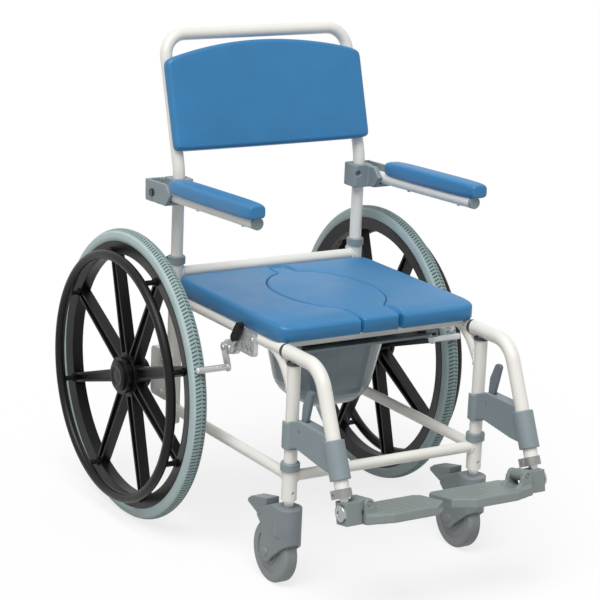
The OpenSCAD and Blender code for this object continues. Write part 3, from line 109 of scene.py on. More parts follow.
# matt paper: it lights the chair as grey, and a share of white glow is added where the camera sees it
paper, tree = blank("white_paper")
matt = add(tree, "ShaderNodeBsdfDiffuse", None, {"Color": linear("#BEBEBE")})
glow = add(tree, "ShaderNodeEmission", None, {"Color": linear("#FFFFFF"), "Strength": paper_glow})
share = add(tree, "ShaderNodeMath", {"operation": "MULTIPLY"}, {1: paper_share}, {0: seen(tree)})
sheet = add(tree, "ShaderNodeMixShader", None, None,
            {0: share.outputs[0], 1: matt.outputs[0], 2: glow.outputs[0]})
add(tree, "ShaderNodeOutputMaterial", None, None, {"Surface": sheet.outputs[0]})
floor_mesh.materials.append(paper)

azimuth, elevation, roll = (math.radians(a) for a in (-32.01, 14.943, 2.42))
camera_at, focal_mm, sensor_mm = (-2.35290, -3.70206, 1.65410), 134.18, 36
back = Vector((math.sin(azimuth) * math.cos(elevation), -math.cos(azimuth) * math.cos(elevation),
               math.sin(elevation)))
right = (-back).cross(Vector((0, 0, 1))).normalized()
up = right.cross(-back)
lens = bpy.data.cameras.new("camera")
lens.lens = focal_mm
lens.sensor_width = sensor_mm
camera = bpy.data.objects.new("camera", lens)
scene.collection.objects.link(camera)
turned_camera = Matrix((math.cos(roll) * right + math.sin(roll) * up,
                        math.cos(roll) * up - math.sin(roll) * right, back)).transposed().to_4x4()
camera.matrix_world = Matrix.Translation(camera_at) @ turned_camera
scene.camera = camera


# Welded frame. Steel tube, bent and welded, then powder coated white; the beads stand at each joint
# of two tubes and are coated with them, so they ride on the frame and share its finish.

def noise(tree, place, size, detail):
    """Noise with cells of a size in mm."""
    return add(tree, "ShaderNodeTexNoise", None, {"Scale": 1000 / size, "Detail": detail}, {"Vector": place})


def vary(tree, source, low, high):
    """Value that goes from low to high over the middle of a noise's range."""
    ends = {"From Min": 0.3, "From Max": 0.7, "To Min": low, "To Max": high}
    return add(tree, "ShaderNodeMapRange", None, ends, {"Value": source.outputs[0]}).outputs[0]


def surface(tree, tone, dull, height, depth, values=None, edge=0.0):
    """Ends a material's tree: its colour and roughness, a relief of a depth in mm over a height, and edges
    that look rounded to a radius in mm."""
    relief = add(tree, "ShaderNodeBump", None, {"Strength": 1.0, "Distance": depth / 1000},
                 {"Height": height})
    if edge:
        soft = add(tree, "ShaderNodeBevel", {"samples": 6}, {"Radius": edge / 1000})
        tree.links.new(soft.outputs[0], relief.inputs["Normal"])
    shader = add(tree, "ShaderNodeBsdfPrincipled", None, values,
                 {"Base Color": tone, "Roughness": dull, "Normal": relief.outputs[0]})
    add(tree, "ShaderNodeOutputMaterial", None, None, {"Surface": shader.outputs[0]})


dull_spread, coat_rough = 0.05, 0.15


def coating(name, colour, rough, grain, depth, cloud, spread, metal=0.0, coat=0.0, edge=0.0, shine=0.5):
    """Surface with a fine grain of the given size and depth in mm, and slow clouds of a size in mm
    that shift its colour by a spread and its roughness a little; edge is a worn-in round in mm."""
    m, tree = blank(name)
    place = add(tree, "ShaderNodeTexCoord").outputs["Object"]
    clouds = noise(tree, place, cloud, 4)
    tone = add(tree, "ShaderNodeHueSaturation", None, {"Color": linear(colour)},
               {"Value": vary(tree, clouds, 1 - spread, 1 + spread)})
    dull = vary(tree, clouds, rough - dull_spread, rough + dull_spread)
    gloss = {"Metallic": metal, "Coat Weight": coat, "Coat Roughness": coat_rough,
             "Specular IOR Level": shine}
    surface(tree, tone.outputs[0], dull, noise(tree, place, grain, 2).outputs[0], depth, gloss, edge)
    return m


def dress(material, *names):
    """Puts a material in every slot of the named nodes."""
    for name in names:
        slots = nodes[name].data.materials
        if not len(slots):
            slots.append(material)
        for i in range(len(slots)):
            slots[i] = material


def circle(n):
    """Angles of n points round a circle."""
    return np.linspace(0, 2 * math.pi, n, endpoint=False)


def skin(name, rings, loop=False, crease=40):
    """Mesh of closed rings joined in order, points in mm; loop joins the last ring to the first, or else a
    fan about the middle of each end ring closes it. Faces look outward, told by the sign of the volume."""
    rings = np.asarray(rings, float)
    m, n = rings.shape[:2]
    points = rings.reshape(-1, 3)
    i, j = np.meshgrid(np.arange(m if loop else m - 1), np.arange(n), indexing="ij")
    after, beside = (i + 1) % m, (j + 1) % n
    quads = np.stack([i * n + j, i * n + beside, after * n + beside, after * n + j], -1).reshape(-1, 4)
    faces, solid = quads.tolist(), quads
    if not loop:
        points = np.vstack([points, rings[0].mean(0), rings[-1].mean(0)])
        a, last = np.arange(n), (m - 1) * n
        fans = np.vstack([np.stack([(a + 1) % n, a, np.full(n, m * n)], -1),
                          np.stack([last + a, last + (a + 1) % n, np.full(n, m * n + 1)], -1)])
        faces += fans.tolist()
        solid = np.vstack([quads, fans[:, [0, 1, 2, 2]]])
    p, q, r, s = (points[solid[:, c]] for c in range(4))
    if (p * (np.cross(q, r) + np.cross(r, s))).sum() < 0:
        faces = [f[::-1] for f in faces]
    mesh = bpy.data.meshes.new(name)
    mesh.from_pydata((points / 1000).tolist(), [], faces)
    mesh.shade_smooth()
    mesh.set_sharp_from_angle(angle=math.radians(crease))
    return mesh


def piece(name, mesh, body, slot, material, *stands_for):
    """Adds a finished mesh to the scene on a body, with its material; slot is not used."""
    o = bpy.data.objects.new(name, mesh)
    scene.collection.objects.link(o)
    mesh.materials.append(material)
    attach(o, body)
    if stands_for:
        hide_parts(*stands_for)
    return o


# white polyester powder coat: an orange peel of about 1.5 mm, drawn at 2.5 mm so that it shows
powder = coating("powder_coat_white", "#E8E6DF", rough=0.34, grain=2.5, depth=0.05, cloud=90, spread=0.02,
                 coat=0.2)
dress(powder, "front_legs", "rear_legs", "seat_rails", "seat_cross_members", "base_frame", "back_frame",
      "left_arm_tube", "right_arm_tube", "left_hanger", "right_hanger", "axle_brackets")

side_x, post_y, leg_y, rail_z, base_z, rear_z = 217.0, 196.7878, -275.2122, 468.7, 228.0, 517.0
post_r, leg_r, base_r, rail_r, rear_r, gusset_r = 15.0, 13.0, 11.0, 13.0, 12.0, 11.5
gusset_run, gusset_bend, gusset_turn = 97.0, 90.0, math.radians(55)
gusset_y = leg_y + gusset_run - gusset_bend * math.sin(gusset_turn)
gusset_z = rail_z - gusset_bend * (1 - math.cos(gusset_turn))
gusset_way = (0, -math.cos(gusset_turn), -math.sin(gusset_turn))
weld_r, weld_ripple, weld_pitch, ripple_n = 2.3, 0.35, 2.6, 6


def bead(upright, upright_r, start, way, tube_r):
    """Rings of a weld bead where a tube meets an upright one: the curve lies on the tube's skin where it
    enters the upright's skin, and a small round with a ripple of the weld's pitch is carried along it."""
    way = np.array(way, float) / np.linalg.norm(way)
    side = np.cross(way, (0, 0, 1))
    side /= np.linalg.norm(side)
    rise = np.cross(side, way)
    count = int(2 * math.pi * tube_r / weld_pitch) * ripple_n
    t = circle(count)[:, None]
    edge = np.array(start, float) + tube_r * (np.cos(t) * side + np.sin(t) * rise)
    flat, off = way[:2], edge[:, :2] - np.array(upright, float)
    a, b, c = flat @ flat, off @ flat, (off ** 2).sum(1) - upright_r ** 2
    path = edge + way * ((-b - np.sqrt(np.maximum(b * b - a * c, 0))) / a)[:, None]
    along = np.roll(path, -1, 0) - np.roll(path, 1, 0)
    along /= np.linalg.norm(along, axis=1, keepdims=True)
    out = path - path.mean(0)
    out -= (out * along).sum(1, keepdims=True) * along
    out /= np.linalg.norm(out, axis=1, keepdims=True)
    across = np.cross(along, out)
    f = circle(10)[None, :, None]
    thick = weld_r + weld_ripple * np.sin(np.arange(count) * 2 * math.pi / ripple_n)
    return path[:, None] + thick[:, None, None] * (np.cos(f) * out[:, None] + np.sin(f) * across[:, None])


weld = bmesh.new()
for s in (-1, 1):
    x, front, rear = s * side_x, (s * side_x, leg_y), (s * side_x, post_y)
    for rings in (
        bead(front, post_r, (0, leg_y, base_z), (s, 0, 0), base_r),
        bead(front, post_r, (x, 0, base_z), (0, -1, 0), base_r),
        bead(rear, post_r, (x, 0, base_z), (0, 1, 0), base_r),
        bead(rear, post_r, (x, 0, rail_z), (0, 1, 0), rail_r),
        bead(rear, post_r, (0, post_y, rear_z), (s, 0, 0), rear_r),
        bead(front, leg_r, (x, gusset_y, gusset_z), gusset_way, gusset_r),
    ):
        part = skin("bead", rings, loop=True)
        weld.from_mesh(part)
        bpy.data.meshes.remove(part)
weld_mesh = bpy.data.meshes.new("weld_beads")
weld.to_mesh(weld_mesh)
weld.free()
weld_mesh.shade_smooth()
piece("weld_beads", weld_mesh, "frame", "frame_white", powder)


# Grey mouldings. Filled nylon, spark-eroded finish: collars, runners and caps, and the arm brackets, legrest
# brackets, latch levers, foot blocks and footplates, which are redrawn from their own solids with the round
# edges of a mould. They are pressed, clamped or pinned on the tubes.

merge_m, relax_share = 1e-5, 0.5


def moulded(node, body, slot, material, cell, rounds):
    """Copy of a node with its corners rounded as in a mould: rebuilt in cells of a size in mm, then relaxed
    in a number of rounds. It stands in for the node."""
    copy = nodes[node].copy()
    copy.data = nodes[node].data.copy()
    copy.parent = None
    scene.collection.objects.link(copy)
    shape = bmesh.new()
    shape.from_mesh(copy.data)
    bmesh.ops.remove_doubles(shape, verts=shape.verts, dist=merge_m)
    shape.to_mesh(copy.data)
    shape.free()
    cells = copy.modifiers.new("cells", "REMESH")
    cells.mode = "VOXEL"
    cells.voxel_size = cell / 1000
    relax = copy.modifiers.new("relax", "SMOOTH")
    relax.factor = relax_share
    relax.iterations = rounds
    bpy.context.view_layer.update()
    mesh = bpy.data.meshes.new_from_object(copy.evaluated_get(bpy.context.evaluated_depsgraph_get()))
    mesh.name = node + "_moulding"
    mesh.materials.clear()
    mesh.shade_smooth()
    bpy.data.objects.remove(copy)
    piece(node + "_moulding", mesh, body, slot, material, node)


# grey glass-filled nylon: a spark grain of about 0.3 mm, drawn at 1.2 mm so that it shows
nylon = coating("grey_filled_nylon", "#849095", rough=0.5, grain=1.2, depth=0.05, cloud=55, spread=0.04,
                edge=0.8)
dress(nylon, "frame_collars", "pan_runners", "left_arm_cap", "right_arm_cap")
# the footplates' nylon, a little greener: the same grain
plate_nylon = coating("grey_green_filled_nylon", "#7F8987", rough=0.46, grain=1.2, depth=0.05, cloud=55,
                      spread=0.04, edge=0.8)
# the latch levers' nylon, a darker grey: the same grain
lever_nylon = coating("dark_grey_filled_nylon", "#717C82", rough=0.48, grain=1.2, depth=0.05, cloud=55,
                      spread=0.04, edge=0.8)
# black nitrile rubber of the legrest buffers and bushes: a dull skin with a grain of about 0.5 mm,
# drawn at 1.5 mm so that it shows
nitrile = coating("black_nitrile_rubber", "#3A3D3F", rough=0.6, grain=1.5, depth=0.05, cloud=30, spread=0.05)
dress(nitrile, "legrest_bushes")
moulded("arm_brackets", "backrest", "grey_moulding", nylon, cell=1.3, rounds=5)
for side in ("left_", "right_"):
    moulded(side + "hanger_bracket", side + "legrest", "grey_moulding", nylon, cell=1.3, rounds=6)
    moulded(side + "latch_lever", side + "latch", "grey_moulding", lever_nylon, cell=0.9, rounds=3)
    moulded(side + "foot_block", side + "footrest", "grey_moulding", plate_nylon, cell=1.2, rounds=5)
    moulded(side + "footplate", side + "plate", "grey_moulding", plate_nylon, cell=1.6, rounds=5)


# Drive wheels. Black glass-filled nylon wheels and handrims, with grey solid tyres pressed on the rims.
# The tyre has two rows of slanted slots round its crown and a ledge low on each wall; a cap snaps on
# each hub.

# black glass-filled nylon: a flow grain of about 1 mm, drawn at 2 mm so that it shows
black = coating("black_filled_nylon", "#0B0C0C", rough=0.38, grain=2.0, depth=0.05, cloud=60, spread=0.10,
                edge=1.2, shine=0.25)
dress(black, "left_wheel", "right_wheel", "left_handrim", "right_handrim", "left_brake_grip",
      "right_brake_grip", "left_back_knob", "right_back_knob")

# grey polyurethane tyre: a dull skin with a grain of about 0.5 mm, drawn at 1.5 mm so that it shows,
# and painted shade in the slots and, weaker, on the crown between them
tyre_grain, tyre_relief, tyre_cloud = 1.5, 0.06, 45
tread, tree = blank("grey_polyurethane_tyre")
place = add(tree, "ShaderNodeTexCoord").outputs["Object"]
clouds = noise(tree, place, tyre_cloud, 4)
# the groove attribute is a mask of painted shade: full in the slots, a share on the crown; it mixes in the
# darker second colour
painted_shade_mask = add(tree, "ShaderNodeAttribute", {"attribute_name": "groove"}).outputs["Fac"]
tone = add(tree, "ShaderNodeMix", {"data_type": "RGBA"}, {6: linear("#AEC0C0"), 7: linear("#5E7978")},
           {0: painted_shade_mask})
mottled_tone = add(tree, "ShaderNodeHueSaturation", None, None,
           {"Color": tone.outputs[2], "Value": vary(tree, clouds, 0.94, 1.05)})
surface(tree, mottled_tone.outputs[0], vary(tree, clouds, 0.58, 0.72), noise(tree, place, tyre_grain, 2).outputs[0],
        tyre_relief)

axle_y, wheel_x, wheel_r, tyre_r, rim_r = 224.7878, 301.0, 302.0, 17.5, 277.0
slot_pitch, slot_long, slot_in, slot_out, slot_depth, slant = 8.0, 3.3, 1.0, 11.4, 2.2, 0.35
slot_wall, slot_thirds, crown_half, wall_from = 0.4, (4.4, 7.7), 13.0, 1.0
# the last of these is the share of painted shade laid on the crown between the slots
ledge_at, ledge_t, crown_painted_shade = 15.6, 0.9, 0.42


def tyre_rings():
    """Rings round the tyre and how much painted shade each point takes: a circle's arc across, cut where it
    meets the rim, lowered in slots that slant away from the middle in two rows, and by a ledge near the rim;
    the slots take full painted shade and the crown between them a part."""
    reach = math.acos((rim_r - wheel_r + tyre_r) / tyre_r)
    marks = [0, slot_in, slot_in + slot_wall, *slot_thirds, slot_out - slot_wall, slot_out, crown_half]
    half = [math.asin(w / tyre_r) for w in marks] + list(np.linspace(wall_from, reach, 12))
    across = np.array([-a for a in half[:0:-1]] + half)
    w = np.abs(tyre_r * np.sin(across))
    row = (w > slot_in + slot_wall / 2) & (w < slot_out - slot_wall / 2)
    low = w > ledge_at
    count = int(2 * math.pi * wheel_r / slot_pitch)
    steps = np.array([0, slot_wall, slot_long - slot_wall, slot_long]) / slot_pitch
    turn = ((np.arange(count)[:, None] + steps) * 2 * math.pi / count).ravel()[:, None] + slant * w / wheel_r
    sunk = row * np.tile([0, 1, 1, 0], count)[:, None]
    r = tyre_r - slot_depth * sunk - ledge_t * low
    out = wheel_r - tyre_r + r * np.cos(across)
    # painted shade: all of it in the slots, a share on the worn-smooth crown
    painted_shade_share = np.maximum(sunk, crown_painted_shade * (w < slot_out))
    return np.stack([r * np.sin(across), -out * np.sin(turn), out * np.cos(turn)], -1), painted_shade_share


for s, side in ((-1, "left_"), (1, "right_")):
    rings, painted_shade_share = tyre_rings()
    mesh = skin(side + "tyre_tread", rings + np.array((s * wheel_x, axle_y, wheel_r)), loop=True, crease=35)
    # the groove attribute carries the painted shade of the slots and the crown
    mesh.attributes.new("groove", "FLOAT", "POINT").data.foreach_set("value", painted_shade_share.astype(float).ravel())
    piece(side + "tyre_tread", mesh, side + "drive_wheel", "grey_tyre", tread, side + "tyre")

hub_face = 334.0
cap_r = np.array((2.0, 12.0, 15.5, 17.0, 19.0, 24.0, 26.5, 28.0))
cap_h = np.array((1.4, 1.0, 0.4, 1.2, 2.4, 2.6, 2.0, -0.3))


def turned(r, h, n):
    """Rings of n points about +Z, at the radii and heights of a profile."""
    f = circle(n)
    return np.stack([r[:, None] * np.cos(f), r[:, None] * np.sin(f), np.tile(h[:, None], n)], -1)


def to_side(rings, s, x, y, z):
    """Rings about +Z turned to look out to the left or the right at a place given for the right."""
    return np.stack([s * (x + rings[..., 2]), y + rings[..., 0], z + rings[..., 1]], -1)


for s, side in ((-1, "left_"), (1, "right_")):
    rings = to_side(turned(cap_r, cap_h, 64), s, hub_face, axle_y, wheel_r)
    mesh = skin(side + "hub_cap", rings, crease=50)
    piece(side + "hub_cap", mesh, side + "drive_wheel", "black_moulding", black)


# Castors. Grey nylon hoods with a brake pedal, on grey rubber-tyred rollers.
# The hood is one moulding, so its corners are round; its stem turns in the socket of the leg above.

# darker grey nylon of the castors: the grain of the other mouldings
castor_nylon = coating("grey_castor_nylon", "#7B8286", rough=0.42, grain=1.2, depth=0.05, cloud=50,
                       spread=0.05, edge=0.8)
# grey thermoplastic rubber: a dull skin with a grain of about 0.5 mm, drawn at 1.5 mm so that it shows
rubber = coating("grey_castor_rubber", "#868B8D", rough=0.55, grain=1.5, depth=0.05, cloud=40, spread=0.05,
                 edge=1.0)
dress(rubber, "left_castor_wheel", "right_castor_wheel")
for side in ("left_", "right_"):
    moulded(side + "castor_fork", side + "castor", "grey_moulding", castor_nylon, cell=1.3, rounds=5)
    moulded(side + "castor_pedal", side + "castor_brake", "grey_moulding", castor_nylon, cell=1.0, rounds=4)


# Metal fittings. Die-cast brakes, zinc-plated axles, stems and bearings, dark grey arm pins whose colour is a
# painted shade of their sockets, steel clamp bands and chromed foot stems, all bolted or pressed on. A nut
# closes each pivot of a brake, a cap the end of its shoe rod, and a bolt its clamp and each foot block.

# die-cast aluminium alloy, tumbled: a grain of about 0.6 mm, drawn at 1.2 mm so that it shows
alloy = coating("die_cast_alloy", "#CBCDCD", rough=0.3, grain=1.2, depth=0.03, cloud=35, spread=0.08,
                metal=0.55, edge=0.7)
dress(alloy, "brake_brackets", "left_brake_lever", "right_brake_lever", "left_brake_shoe", "right_brake_shoe")
# zinc plate: patches of its crystal bloom of about 6 mm
zinc = coating("zinc_plated_steel", "#C3C5C6", rough=0.34, grain=6.0, depth=0.01, cloud=12, spread=0.05,
               metal=1.0, edge=0.5)
dress(zinc, "axles_and_stems", "left_wheel_bearings", "right_wheel_bearings")
# dark grey steel on the arms' pivot bolts, a painted shade standing in for their socket recesses, over a
# turned face with marks of about 1 mm
socket_shade_steel = coating("dark_steel_painted_socket_shade", "#4A4C4E", rough=0.3, grain=1.0, depth=0.02, cloud=10, spread=0.10,
                metal=1.0, edge=0.5)
dress(socket_shade_steel, "arm_pivots")
# brushed stainless steel of the clamp bands: marks of the brushing, about 1.5 mm apart
stainless = coating("brushed_stainless_steel", "#959694", rough=0.3, grain=1.5, depth=0.01, cloud=25,
                    spread=0.06, metal=1.0, edge=0.5)
dress(stainless, "left_stem_clamp", "right_stem_clamp")
# hard chrome on ground bar: faint marks of the grinding, about 3 mm apart
chrome = coating("chromed_steel", "#A9ABAD", rough=0.16, grain=3.0, depth=0.004, cloud=40, spread=0.02,
                 metal=1.0)
dress(chrome, "left_foot_stem", "right_foot_stem")
# pale polyamide of the caps on the shoe rods: a grain of about 0.5 mm, drawn at 1 mm so that it shows
cap_nylon = coating("pale_polyamide", "#DADBDB", rough=0.4, grain=1.0, depth=0.03, cloud=20, spread=0.03)


def screw_rings(head_r, head_h, socket_r):
    """Button head about +Z with a round socket: rings from the socket's floor up, over the dome and down to
    its seat."""
    dome = np.radians(np.linspace(70, 0, 6))
    r = np.concatenate([[socket_r * 0.2, socket_r, socket_r], head_r * np.cos(dome), [head_r * 0.9]])
    z = np.concatenate([[head_h * 0.45, head_h * 0.45, head_h * 0.95], head_h * np.sin(dome), [-0.5]])
    return turned(r, z, 24)


# radius and height of the head and radius of the socket, then the seat's place on the right
nut, bolt, rod_cap, hinge_bolt = (6.2, 3.6, 2.2), (4.6, 2.8, 2.0), (6.3, 3.0, 1.5), (15.8, 3.2, 6.2)
for s, side in ((-1, "left_"), (1, "right_")):
    for name, body, slot, material, size, spot in (
        ("brake_nut_a", "frame", "zinc_steel", zinc, nut, (245.9, -76.806, 433.372)),
        ("brake_nut_b", "frame", "zinc_steel", zinc, nut, (245.9, -52.806, 428.372)),
        ("brake_bolt", "frame", "zinc_steel", zinc, bolt, (236.0, -147.5, 467.0)),
        ("shoe_cap", side + "brake_arm", "grey_moulding", cap_nylon, rod_cap, (310.0, -70.806, 392.372)),
        ("foot_bolt", side + "footrest", "chrome_rod", chrome, hinge_bolt, (232.0, -477.638, 222.995)),
    ):
        mesh = skin(side + name, to_side(screw_rings(*size), s, *spot), crease=30)
        piece(side + name, mesh, body, slot, material)


# Seat pad. Integral-skin polyurethane foam on a board, a horseshoe with its opening at the front.
# The skin takes the mould's leather grain; the pad clips to the seat rails.

# blue integral-skin foam: a leather grain of about 1.5 mm, drawn at 4 mm so that it shows
leather_grain, leather_relief, foam_cloud = 4.0, 0.12, 70
foam, tree = blank("blue_integral_skin_foam")
place = add(tree, "ShaderNodeTexCoord").outputs["Object"]
leather = add(tree, "ShaderNodeTexVoronoi", {"feature": "SMOOTH_F1"}, {"Scale": 1000 / leather_grain},
              {"Vector": place})
clouds = noise(tree, place, foam_cloud, 5)
tone = add(tree, "ShaderNodeHueSaturation", None, {"Color": linear("#2C78AB")},
           {"Value": vary(tree, clouds, 0.95, 1.06)})
surface(tree, tone.outputs[0], vary(tree, clouds, 0.38, 0.5), leather.outputs[0], leather_relief,
        {"Sheen Weight": 0.03, "Sheen Roughness": 0.4})

seat_ahead, seat_low, seat_t = 232.0, 482.0, 36.0
seat_mid_y = post_y - seat_ahead
seat_half, seat_front, seat_rear, seat_square = 229.0, 208.0, 216.0, 16
hole_half_w, hole_half_d, hole_blend = 106.0, 152.0, 13
slot_half, slot_square, rear_half, rear_reach, rear_square = 45.0, 16, 20.0, 195.0, 12
seat_fall, seat_fall_l = 5.0, 55.0
seat_lip, seat_edge, seat_foot, seat_crown = 5.5, 8.5, 3.0, 2.0
lip_share, edge_share = 0.3, 0.5
seat_shoulder = seat_t - seat_crown
horn_back, horn_round, horn_turns = 24.0, 4.5, (25, 50, 72, 86)


def oval(t, a, b, e):
    """Distance from the middle to a squared oval of half width a, half length b and exponent e, at an angle
    from ahead."""
    return ((np.abs(np.sin(t)) / a) ** e + (np.abs(np.cos(t)) / b) ** e) ** (-1 / e)


def opening(t, front):
    """Distance to the edge of the opening: an ellipse blended with a slot ahead, which ends at front or runs
    on where that is 0, and a short one behind."""
    sine, cosine = np.maximum(np.abs(np.sin(t)), 1e-3), np.cos(t)
    ahead = oval(t, slot_half, front, slot_square) if front else slot_half / sine
    behind = oval(t, rear_half, rear_reach, rear_square)
    ellipse = oval(t, hole_half_w, hole_half_d, 2)
    return (ellipse ** hole_blend + np.where(cosine > 0, ahead, behind) ** hole_blend) ** (1 / hole_blend)


def plan(t, r):
    """Points in plan at angles t and distances r, and the unit normals that point away from the middle."""
    p = np.stack([-np.sin(t) * r, -np.cos(t) * r], -1)
    along = np.gradient(p, axis=0)
    n = np.stack([-along[:, 1], along[:, 0]], -1)
    n *= np.sign((n * p).sum(1, keepdims=True))
    return p, n / np.linalg.norm(n, axis=1, keepdims=True)


def seat_height(y, z):
    """Height of a seat point: z above the pad's foot, with the top falling away towards the front edge."""
    near = np.clip(1 - (y + seat_front) / seat_fall_l, 0, 1)
    return seat_low + z - seat_fall * near ** 2 * (z / seat_t) ** 2


def seat_rings():
    """Sections across the horseshoe from the opening to the outer edge, at angles round the opening: a small
    chamfer at the foot, a rounded lip, a crowned top and a rounded outer edge. The rounds shrink where the
    horseshoe is narrow, and each horn ends in a round of its own."""
    start = math.atan(slot_half / (seat_front - horn_back))
    t = np.linspace(start, 2 * math.pi - start, 560)
    inner, inner_n = plan(t, opening(t, 0))
    outer, outer_n = plan(t, oval(t, seat_half, np.where(np.cos(t) > 0, seat_front, seat_rear), seat_square))
    width = np.linalg.norm(outer - inner, axis=1)[:, None]
    lip, edge = np.minimum(seat_lip, width * lip_share), np.minimum(seat_edge, width * edge_share)
    a = np.radians(np.linspace(0, 90, 8))
    share = np.linspace(0, 1, 16)[1:-1]
    none, foot = np.zeros((len(t), 1)), np.full((len(t), 1), seat_foot)
    in_off = np.concatenate([foot, none, lip * (1 - np.cos(a))], 1)
    in_z = np.concatenate([none, foot, seat_shoulder - lip * (1 - np.sin(a))], 1)
    out_off = np.concatenate([edge * (1 - np.cos(a[::-1])), none, foot], 1)
    out_z = np.concatenate([seat_shoulder - edge * (1 - np.sin(a[::-1])), foot, none], 1)
    in_xy = inner[:, None] + in_off[..., None] * inner_n[:, None]
    out_xy = outer[:, None] - out_off[..., None] * outer_n[:, None]
    top_xy = in_xy[:, -1:] + share[None, :, None] * (out_xy[:, :1] - in_xy[:, -1:])
    top_z = np.tile(seat_shoulder + seat_crown * (1 - (2 * share - 1) ** 2), (len(t), 1))
    xy, z = np.concatenate([in_xy, top_xy, out_xy], 1), np.concatenate([in_z, top_z, out_z], 1)
    rings = np.concatenate([xy, z[..., None]], -1)
    for end, step in ((0, 1), (-1, -1)):
        ring, way = rings[end], rings[end] - rings[end + step]
        way = way.mean(0) / np.linalg.norm(way.mean(0))
        tip = [ring.mean(0) + (ring - ring.mean(0)) * math.cos(b) + way * horn_round * math.sin(b)
               for b in np.radians(horn_turns)]
        rings = np.concatenate([np.array(tip[::-1]), rings] if end == 0 else [rings, np.array(tip)])
    rings[..., 2] = seat_height(rings[..., 1], rings[..., 2])
    rings[..., 1] += seat_mid_y
    return rings


seat_mesh = skin("seat_cushion", seat_rings(), crease=60)
seat = piece("seat_cushion", seat_mesh, "frame", "blue_foam", foam, "seat_pad")


# Seat infill. The same foam, a loose cover that drops in the opening, with a tongue to the front edge
# and a short one behind; it lifts out straight up.

infill_clear, off_axis = 0.8, 1e-4


def infill_rings():
    """Rings from the middle of the top out to the outline of the opening, set in by a clearance, then round
    its edge, down the side and in underneath; no point lies quite on the chair's middle."""
    t = circle(560) + off_axis
    reach = opening(t, seat_front)
    edge, n = plan(np.append(t, t[:2] + 2 * math.pi), np.append(reach, reach[:2]))
    edge, n = np.roll(edge[1:-1], 1, 0), np.roll(n[1:-1], 1, 0)
    rings = []
    for share in (0.04, 0.15, 0.3, 0.45, 0.6, 0.75, 0.88, 0.96):
        p = (edge - (infill_clear + seat_lip) * n) * share
        rings.append(np.column_stack([p, np.full(len(t), seat_shoulder + seat_crown * (1 - share ** 2))]))
    for a in np.radians(np.linspace(90, 0, 8)):
        p = edge - (infill_clear + seat_lip * (1 - math.cos(a))) * n
        rings.append(np.column_stack([p, np.full(len(t), seat_shoulder - seat_lip * (1 - math.sin(a)))]))
    for inset, z, share in ((0, seat_foot, 1), (seat_foot, 0, 1), (seat_foot, 0, 0.3)):
        p = (edge - (infill_clear + inset) * n) * share
        rings.append(np.column_stack([p, np.full(len(t), z)]))
    rings = np.array(rings)
    rings[..., 2] = seat_height(rings[..., 1], rings[..., 2])
    rings[..., 1] += seat_mid_y
    return rings


cover_mesh = skin("infill_cushion", infill_rings(), crease=60)
cover = piece("infill_cushion", cover_mesh, "infill", "blue_foam", foam, "seat_infill")


# Backrest. The same foam on a curved board, held on the two back tubes; it leans with them and is
# hollowed a little across, with an arched top.

back_lean, bend_r, bend_z, bar_z, bar_r, bar_gap = math.radians(17), 100.0, 716.0, 994.0, 12.5, 7.5
back_half, back_h, back_arch, back_sag, back_square = 232.0, 186.0, 33.0, 10.0, 24
back_thick, back_seat, tube_clear = 16.6, 2.0, 13.3
back_front, back_rear, back_puff, wing_fall, wing_from = 9.0, 5.0, 2.0, 5.0, 186.0
lean_y = post_y + bend_r * (1 - math.cos(back_lean))
lean_z = bend_z + bend_r * math.sin(back_lean)
lean_l = (bar_z - lean_z) / math.cos(back_lean)
back_low = lean_l - bar_r - bar_gap - back_arch - back_h


def back_rings():
    """Rings from the middle of the front out to a squared oval with an arched top, round the front edge,
    across the thickness, round the back edge and in to the middle of the back, where they stand clear of
    the two tubes; the front falls away towards its sides."""
    t = circle(600)
    r = oval(t, 1, 1, back_square)
    u, v = r * np.cos(t), r * np.sin(t)
    high = back_h + back_arch * (1 - u ** 2)
    edge = np.column_stack([back_half * u, back_low + (v + 1) / 2 * high])
    along = np.roll(edge, -1, 0) - np.roll(edge, 1, 0)
    n = np.column_stack([along[:, 1], -along[:, 0]])
    n /= np.linalg.norm(n, axis=1, keepdims=True)
    middle = np.array((0, back_low + (back_h + back_arch) / 2))
    rings = []

    def ring(inset, z, share=1.0):
        """Adds the outline, set in and drawn towards the middle, at a height over the pad's mid plane."""
        p = middle + (edge - inset * n - middle) * share
        rings.append(np.column_stack([p, np.full(len(edge), z)]))

    for share in (0.03, 0.12, 0.25, 0.4, 0.55, 0.7, 0.82, 0.92):
        ring(back_front, back_thick - back_puff * share ** 4, share)
    for a in np.radians(np.linspace(90, 0, 9)):
        ring(back_front * (1 - math.cos(a)), back_thick - back_puff - back_front * (1 - math.sin(a)))
    for a in np.radians(np.linspace(0, 90, 7)):
        ring(back_rear * (1 - math.cos(a)), -back_thick + back_rear * (1 - math.sin(a)))
    for share in (0.985, 0.97, 0.95, 0.935, 0.92, 0.905, 0.88, 0.8, 0.55, 0.3, 0.05):
        ring(back_rear, -back_thick, share)
    rings = np.array(rings)
    x, y, z = rings[..., 0], rings[..., 1], rings[..., 2]
    wing = np.clip((np.abs(x) - wing_from) / (back_half - wing_from), 0, 1)
    z = z - np.where(z > 0, wing_fall * wing ** 2, 0)
    z = z + back_seat + back_thick + back_sag * ((x / back_half) ** 2 - (side_x / back_half) ** 2)
    off = np.maximum(0, side_x - np.abs(x))
    z = np.where(off < tube_clear, np.maximum(z, np.sqrt(np.maximum(0, tube_clear ** 2 - off ** 2))), z)
    c, s = math.cos(back_lean), math.sin(back_lean)
    return np.stack([x, lean_y + y * s - z * c, lean_z + y * c + z * s], -1)


rest_mesh = skin("back_cushion", back_rings(), crease=60)
rest = piece("back_cushion", rest_mesh, "backrest", "blue_foam", foam, "backrest_pad")


# Arm pads. The same foam moulded on a steel strip, held from below by two screws through the arm tube;
# each turns up with its arm.

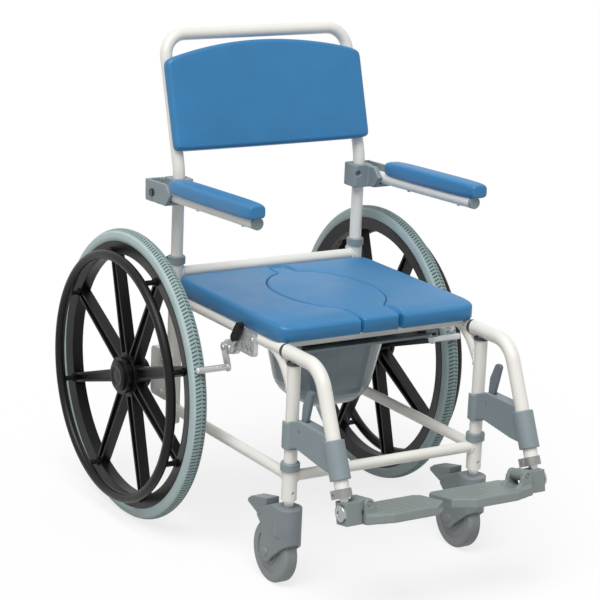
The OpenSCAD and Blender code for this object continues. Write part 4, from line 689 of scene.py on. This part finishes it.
arm_x, arm_back, arm_z, arm_rise, arm_r = 251.0, 12.0, 687.0, math.radians(2.5), 12.5
arm_y = post_y + arm_back
pad_start, pad_l, pad_half, pad_h, pad_shift, pad_low, pad_gap = 76.0, 322.0, 22.2, 27.0, 5.8, 0.38, 0.3
pad_wrap, groove_r, end_bluff, end_round, side_square = 6.0, 13.0, 0.45, 0.18, 0.58
screw_size, screws_at = (4.6, 2.6, 2.0), {"a": 80.0, "b": 258.0}


def on_arm(points, s):
    """Points drawn about the arm's pivot, +Y to the back, put in place on the left or the right."""
    x, y, z = points[..., 0], points[..., 1], points[..., 2]
    c, r = math.cos(arm_rise), math.sin(arm_rise)
    return np.stack([s * (arm_x + x), arm_y + y * c + z * r, arm_z - y * r + z * c], -1)


def power(v, e):
    """A value's size to a power, with its sign kept."""
    return np.sign(v) * np.abs(v) ** e


def arm_pad_rings():
    """Sections along the pad: a squared oval, fuller above, that draws in to a bluff round at each end; its
    sides come down past the top of the arm tube, which lies in a round groove along the underside."""
    a = np.radians(np.linspace(-88, 88, 90))
    t = circle(120)
    run = pad_l / 2 * power(np.sin(a), end_bluff)
    full = (np.cos(a) ** end_round)[:, None]
    rise = np.where(np.sin(t) > 0, 1 - pad_low, pad_low + pad_wrap / pad_h)
    x = pad_shift + pad_half * full * power(np.cos(t), side_square)
    z = arm_r + pad_gap + pad_h * (pad_low + rise * full * power(np.sin(t), side_square))
    z = np.maximum(z, np.sqrt(np.maximum(groove_r ** 2 - x ** 2, 0)))
    y = np.broadcast_to((-pad_start - pad_l / 2 + run)[:, None], x.shape)
    return np.stack([x, y, z], -1)


for s, side in ((-1, "left_"), (1, "right_")):
    mesh = skin(side + "arm_cushion", on_arm(arm_pad_rings(), s), crease=60)
    pad = piece(side + "arm_cushion", mesh, side + "armrest", "blue_foam", foam, side + "arm_pad")
    for letter, along in screws_at.items():
        head = screw_rings(*screw_size) * np.array((1, 1, -1)) + np.array((0, -pad_start - along, -arm_r))
        name = side + "arm_screw_" + letter
        piece(name, skin(name, on_arm(head, s), crease=30), side + "armrest", "zinc_steel", zinc)


# Pan. Grey polypropylene, vacuum formed in one piece, with a flat rim that hangs in the runners under the
# seat and slides out to the back.

# grey polypropylene: a satin skin with a grain of about 1 mm, drawn at 2 mm so that it shows
polypropylene = coating("grey_polypropylene", "#708086", rough=0.24, grain=2.0, depth=0.03, cloud=70,
                        spread=0.04, coat=0.3, edge=1.5)
dress(polypropylene, "commode_pan")
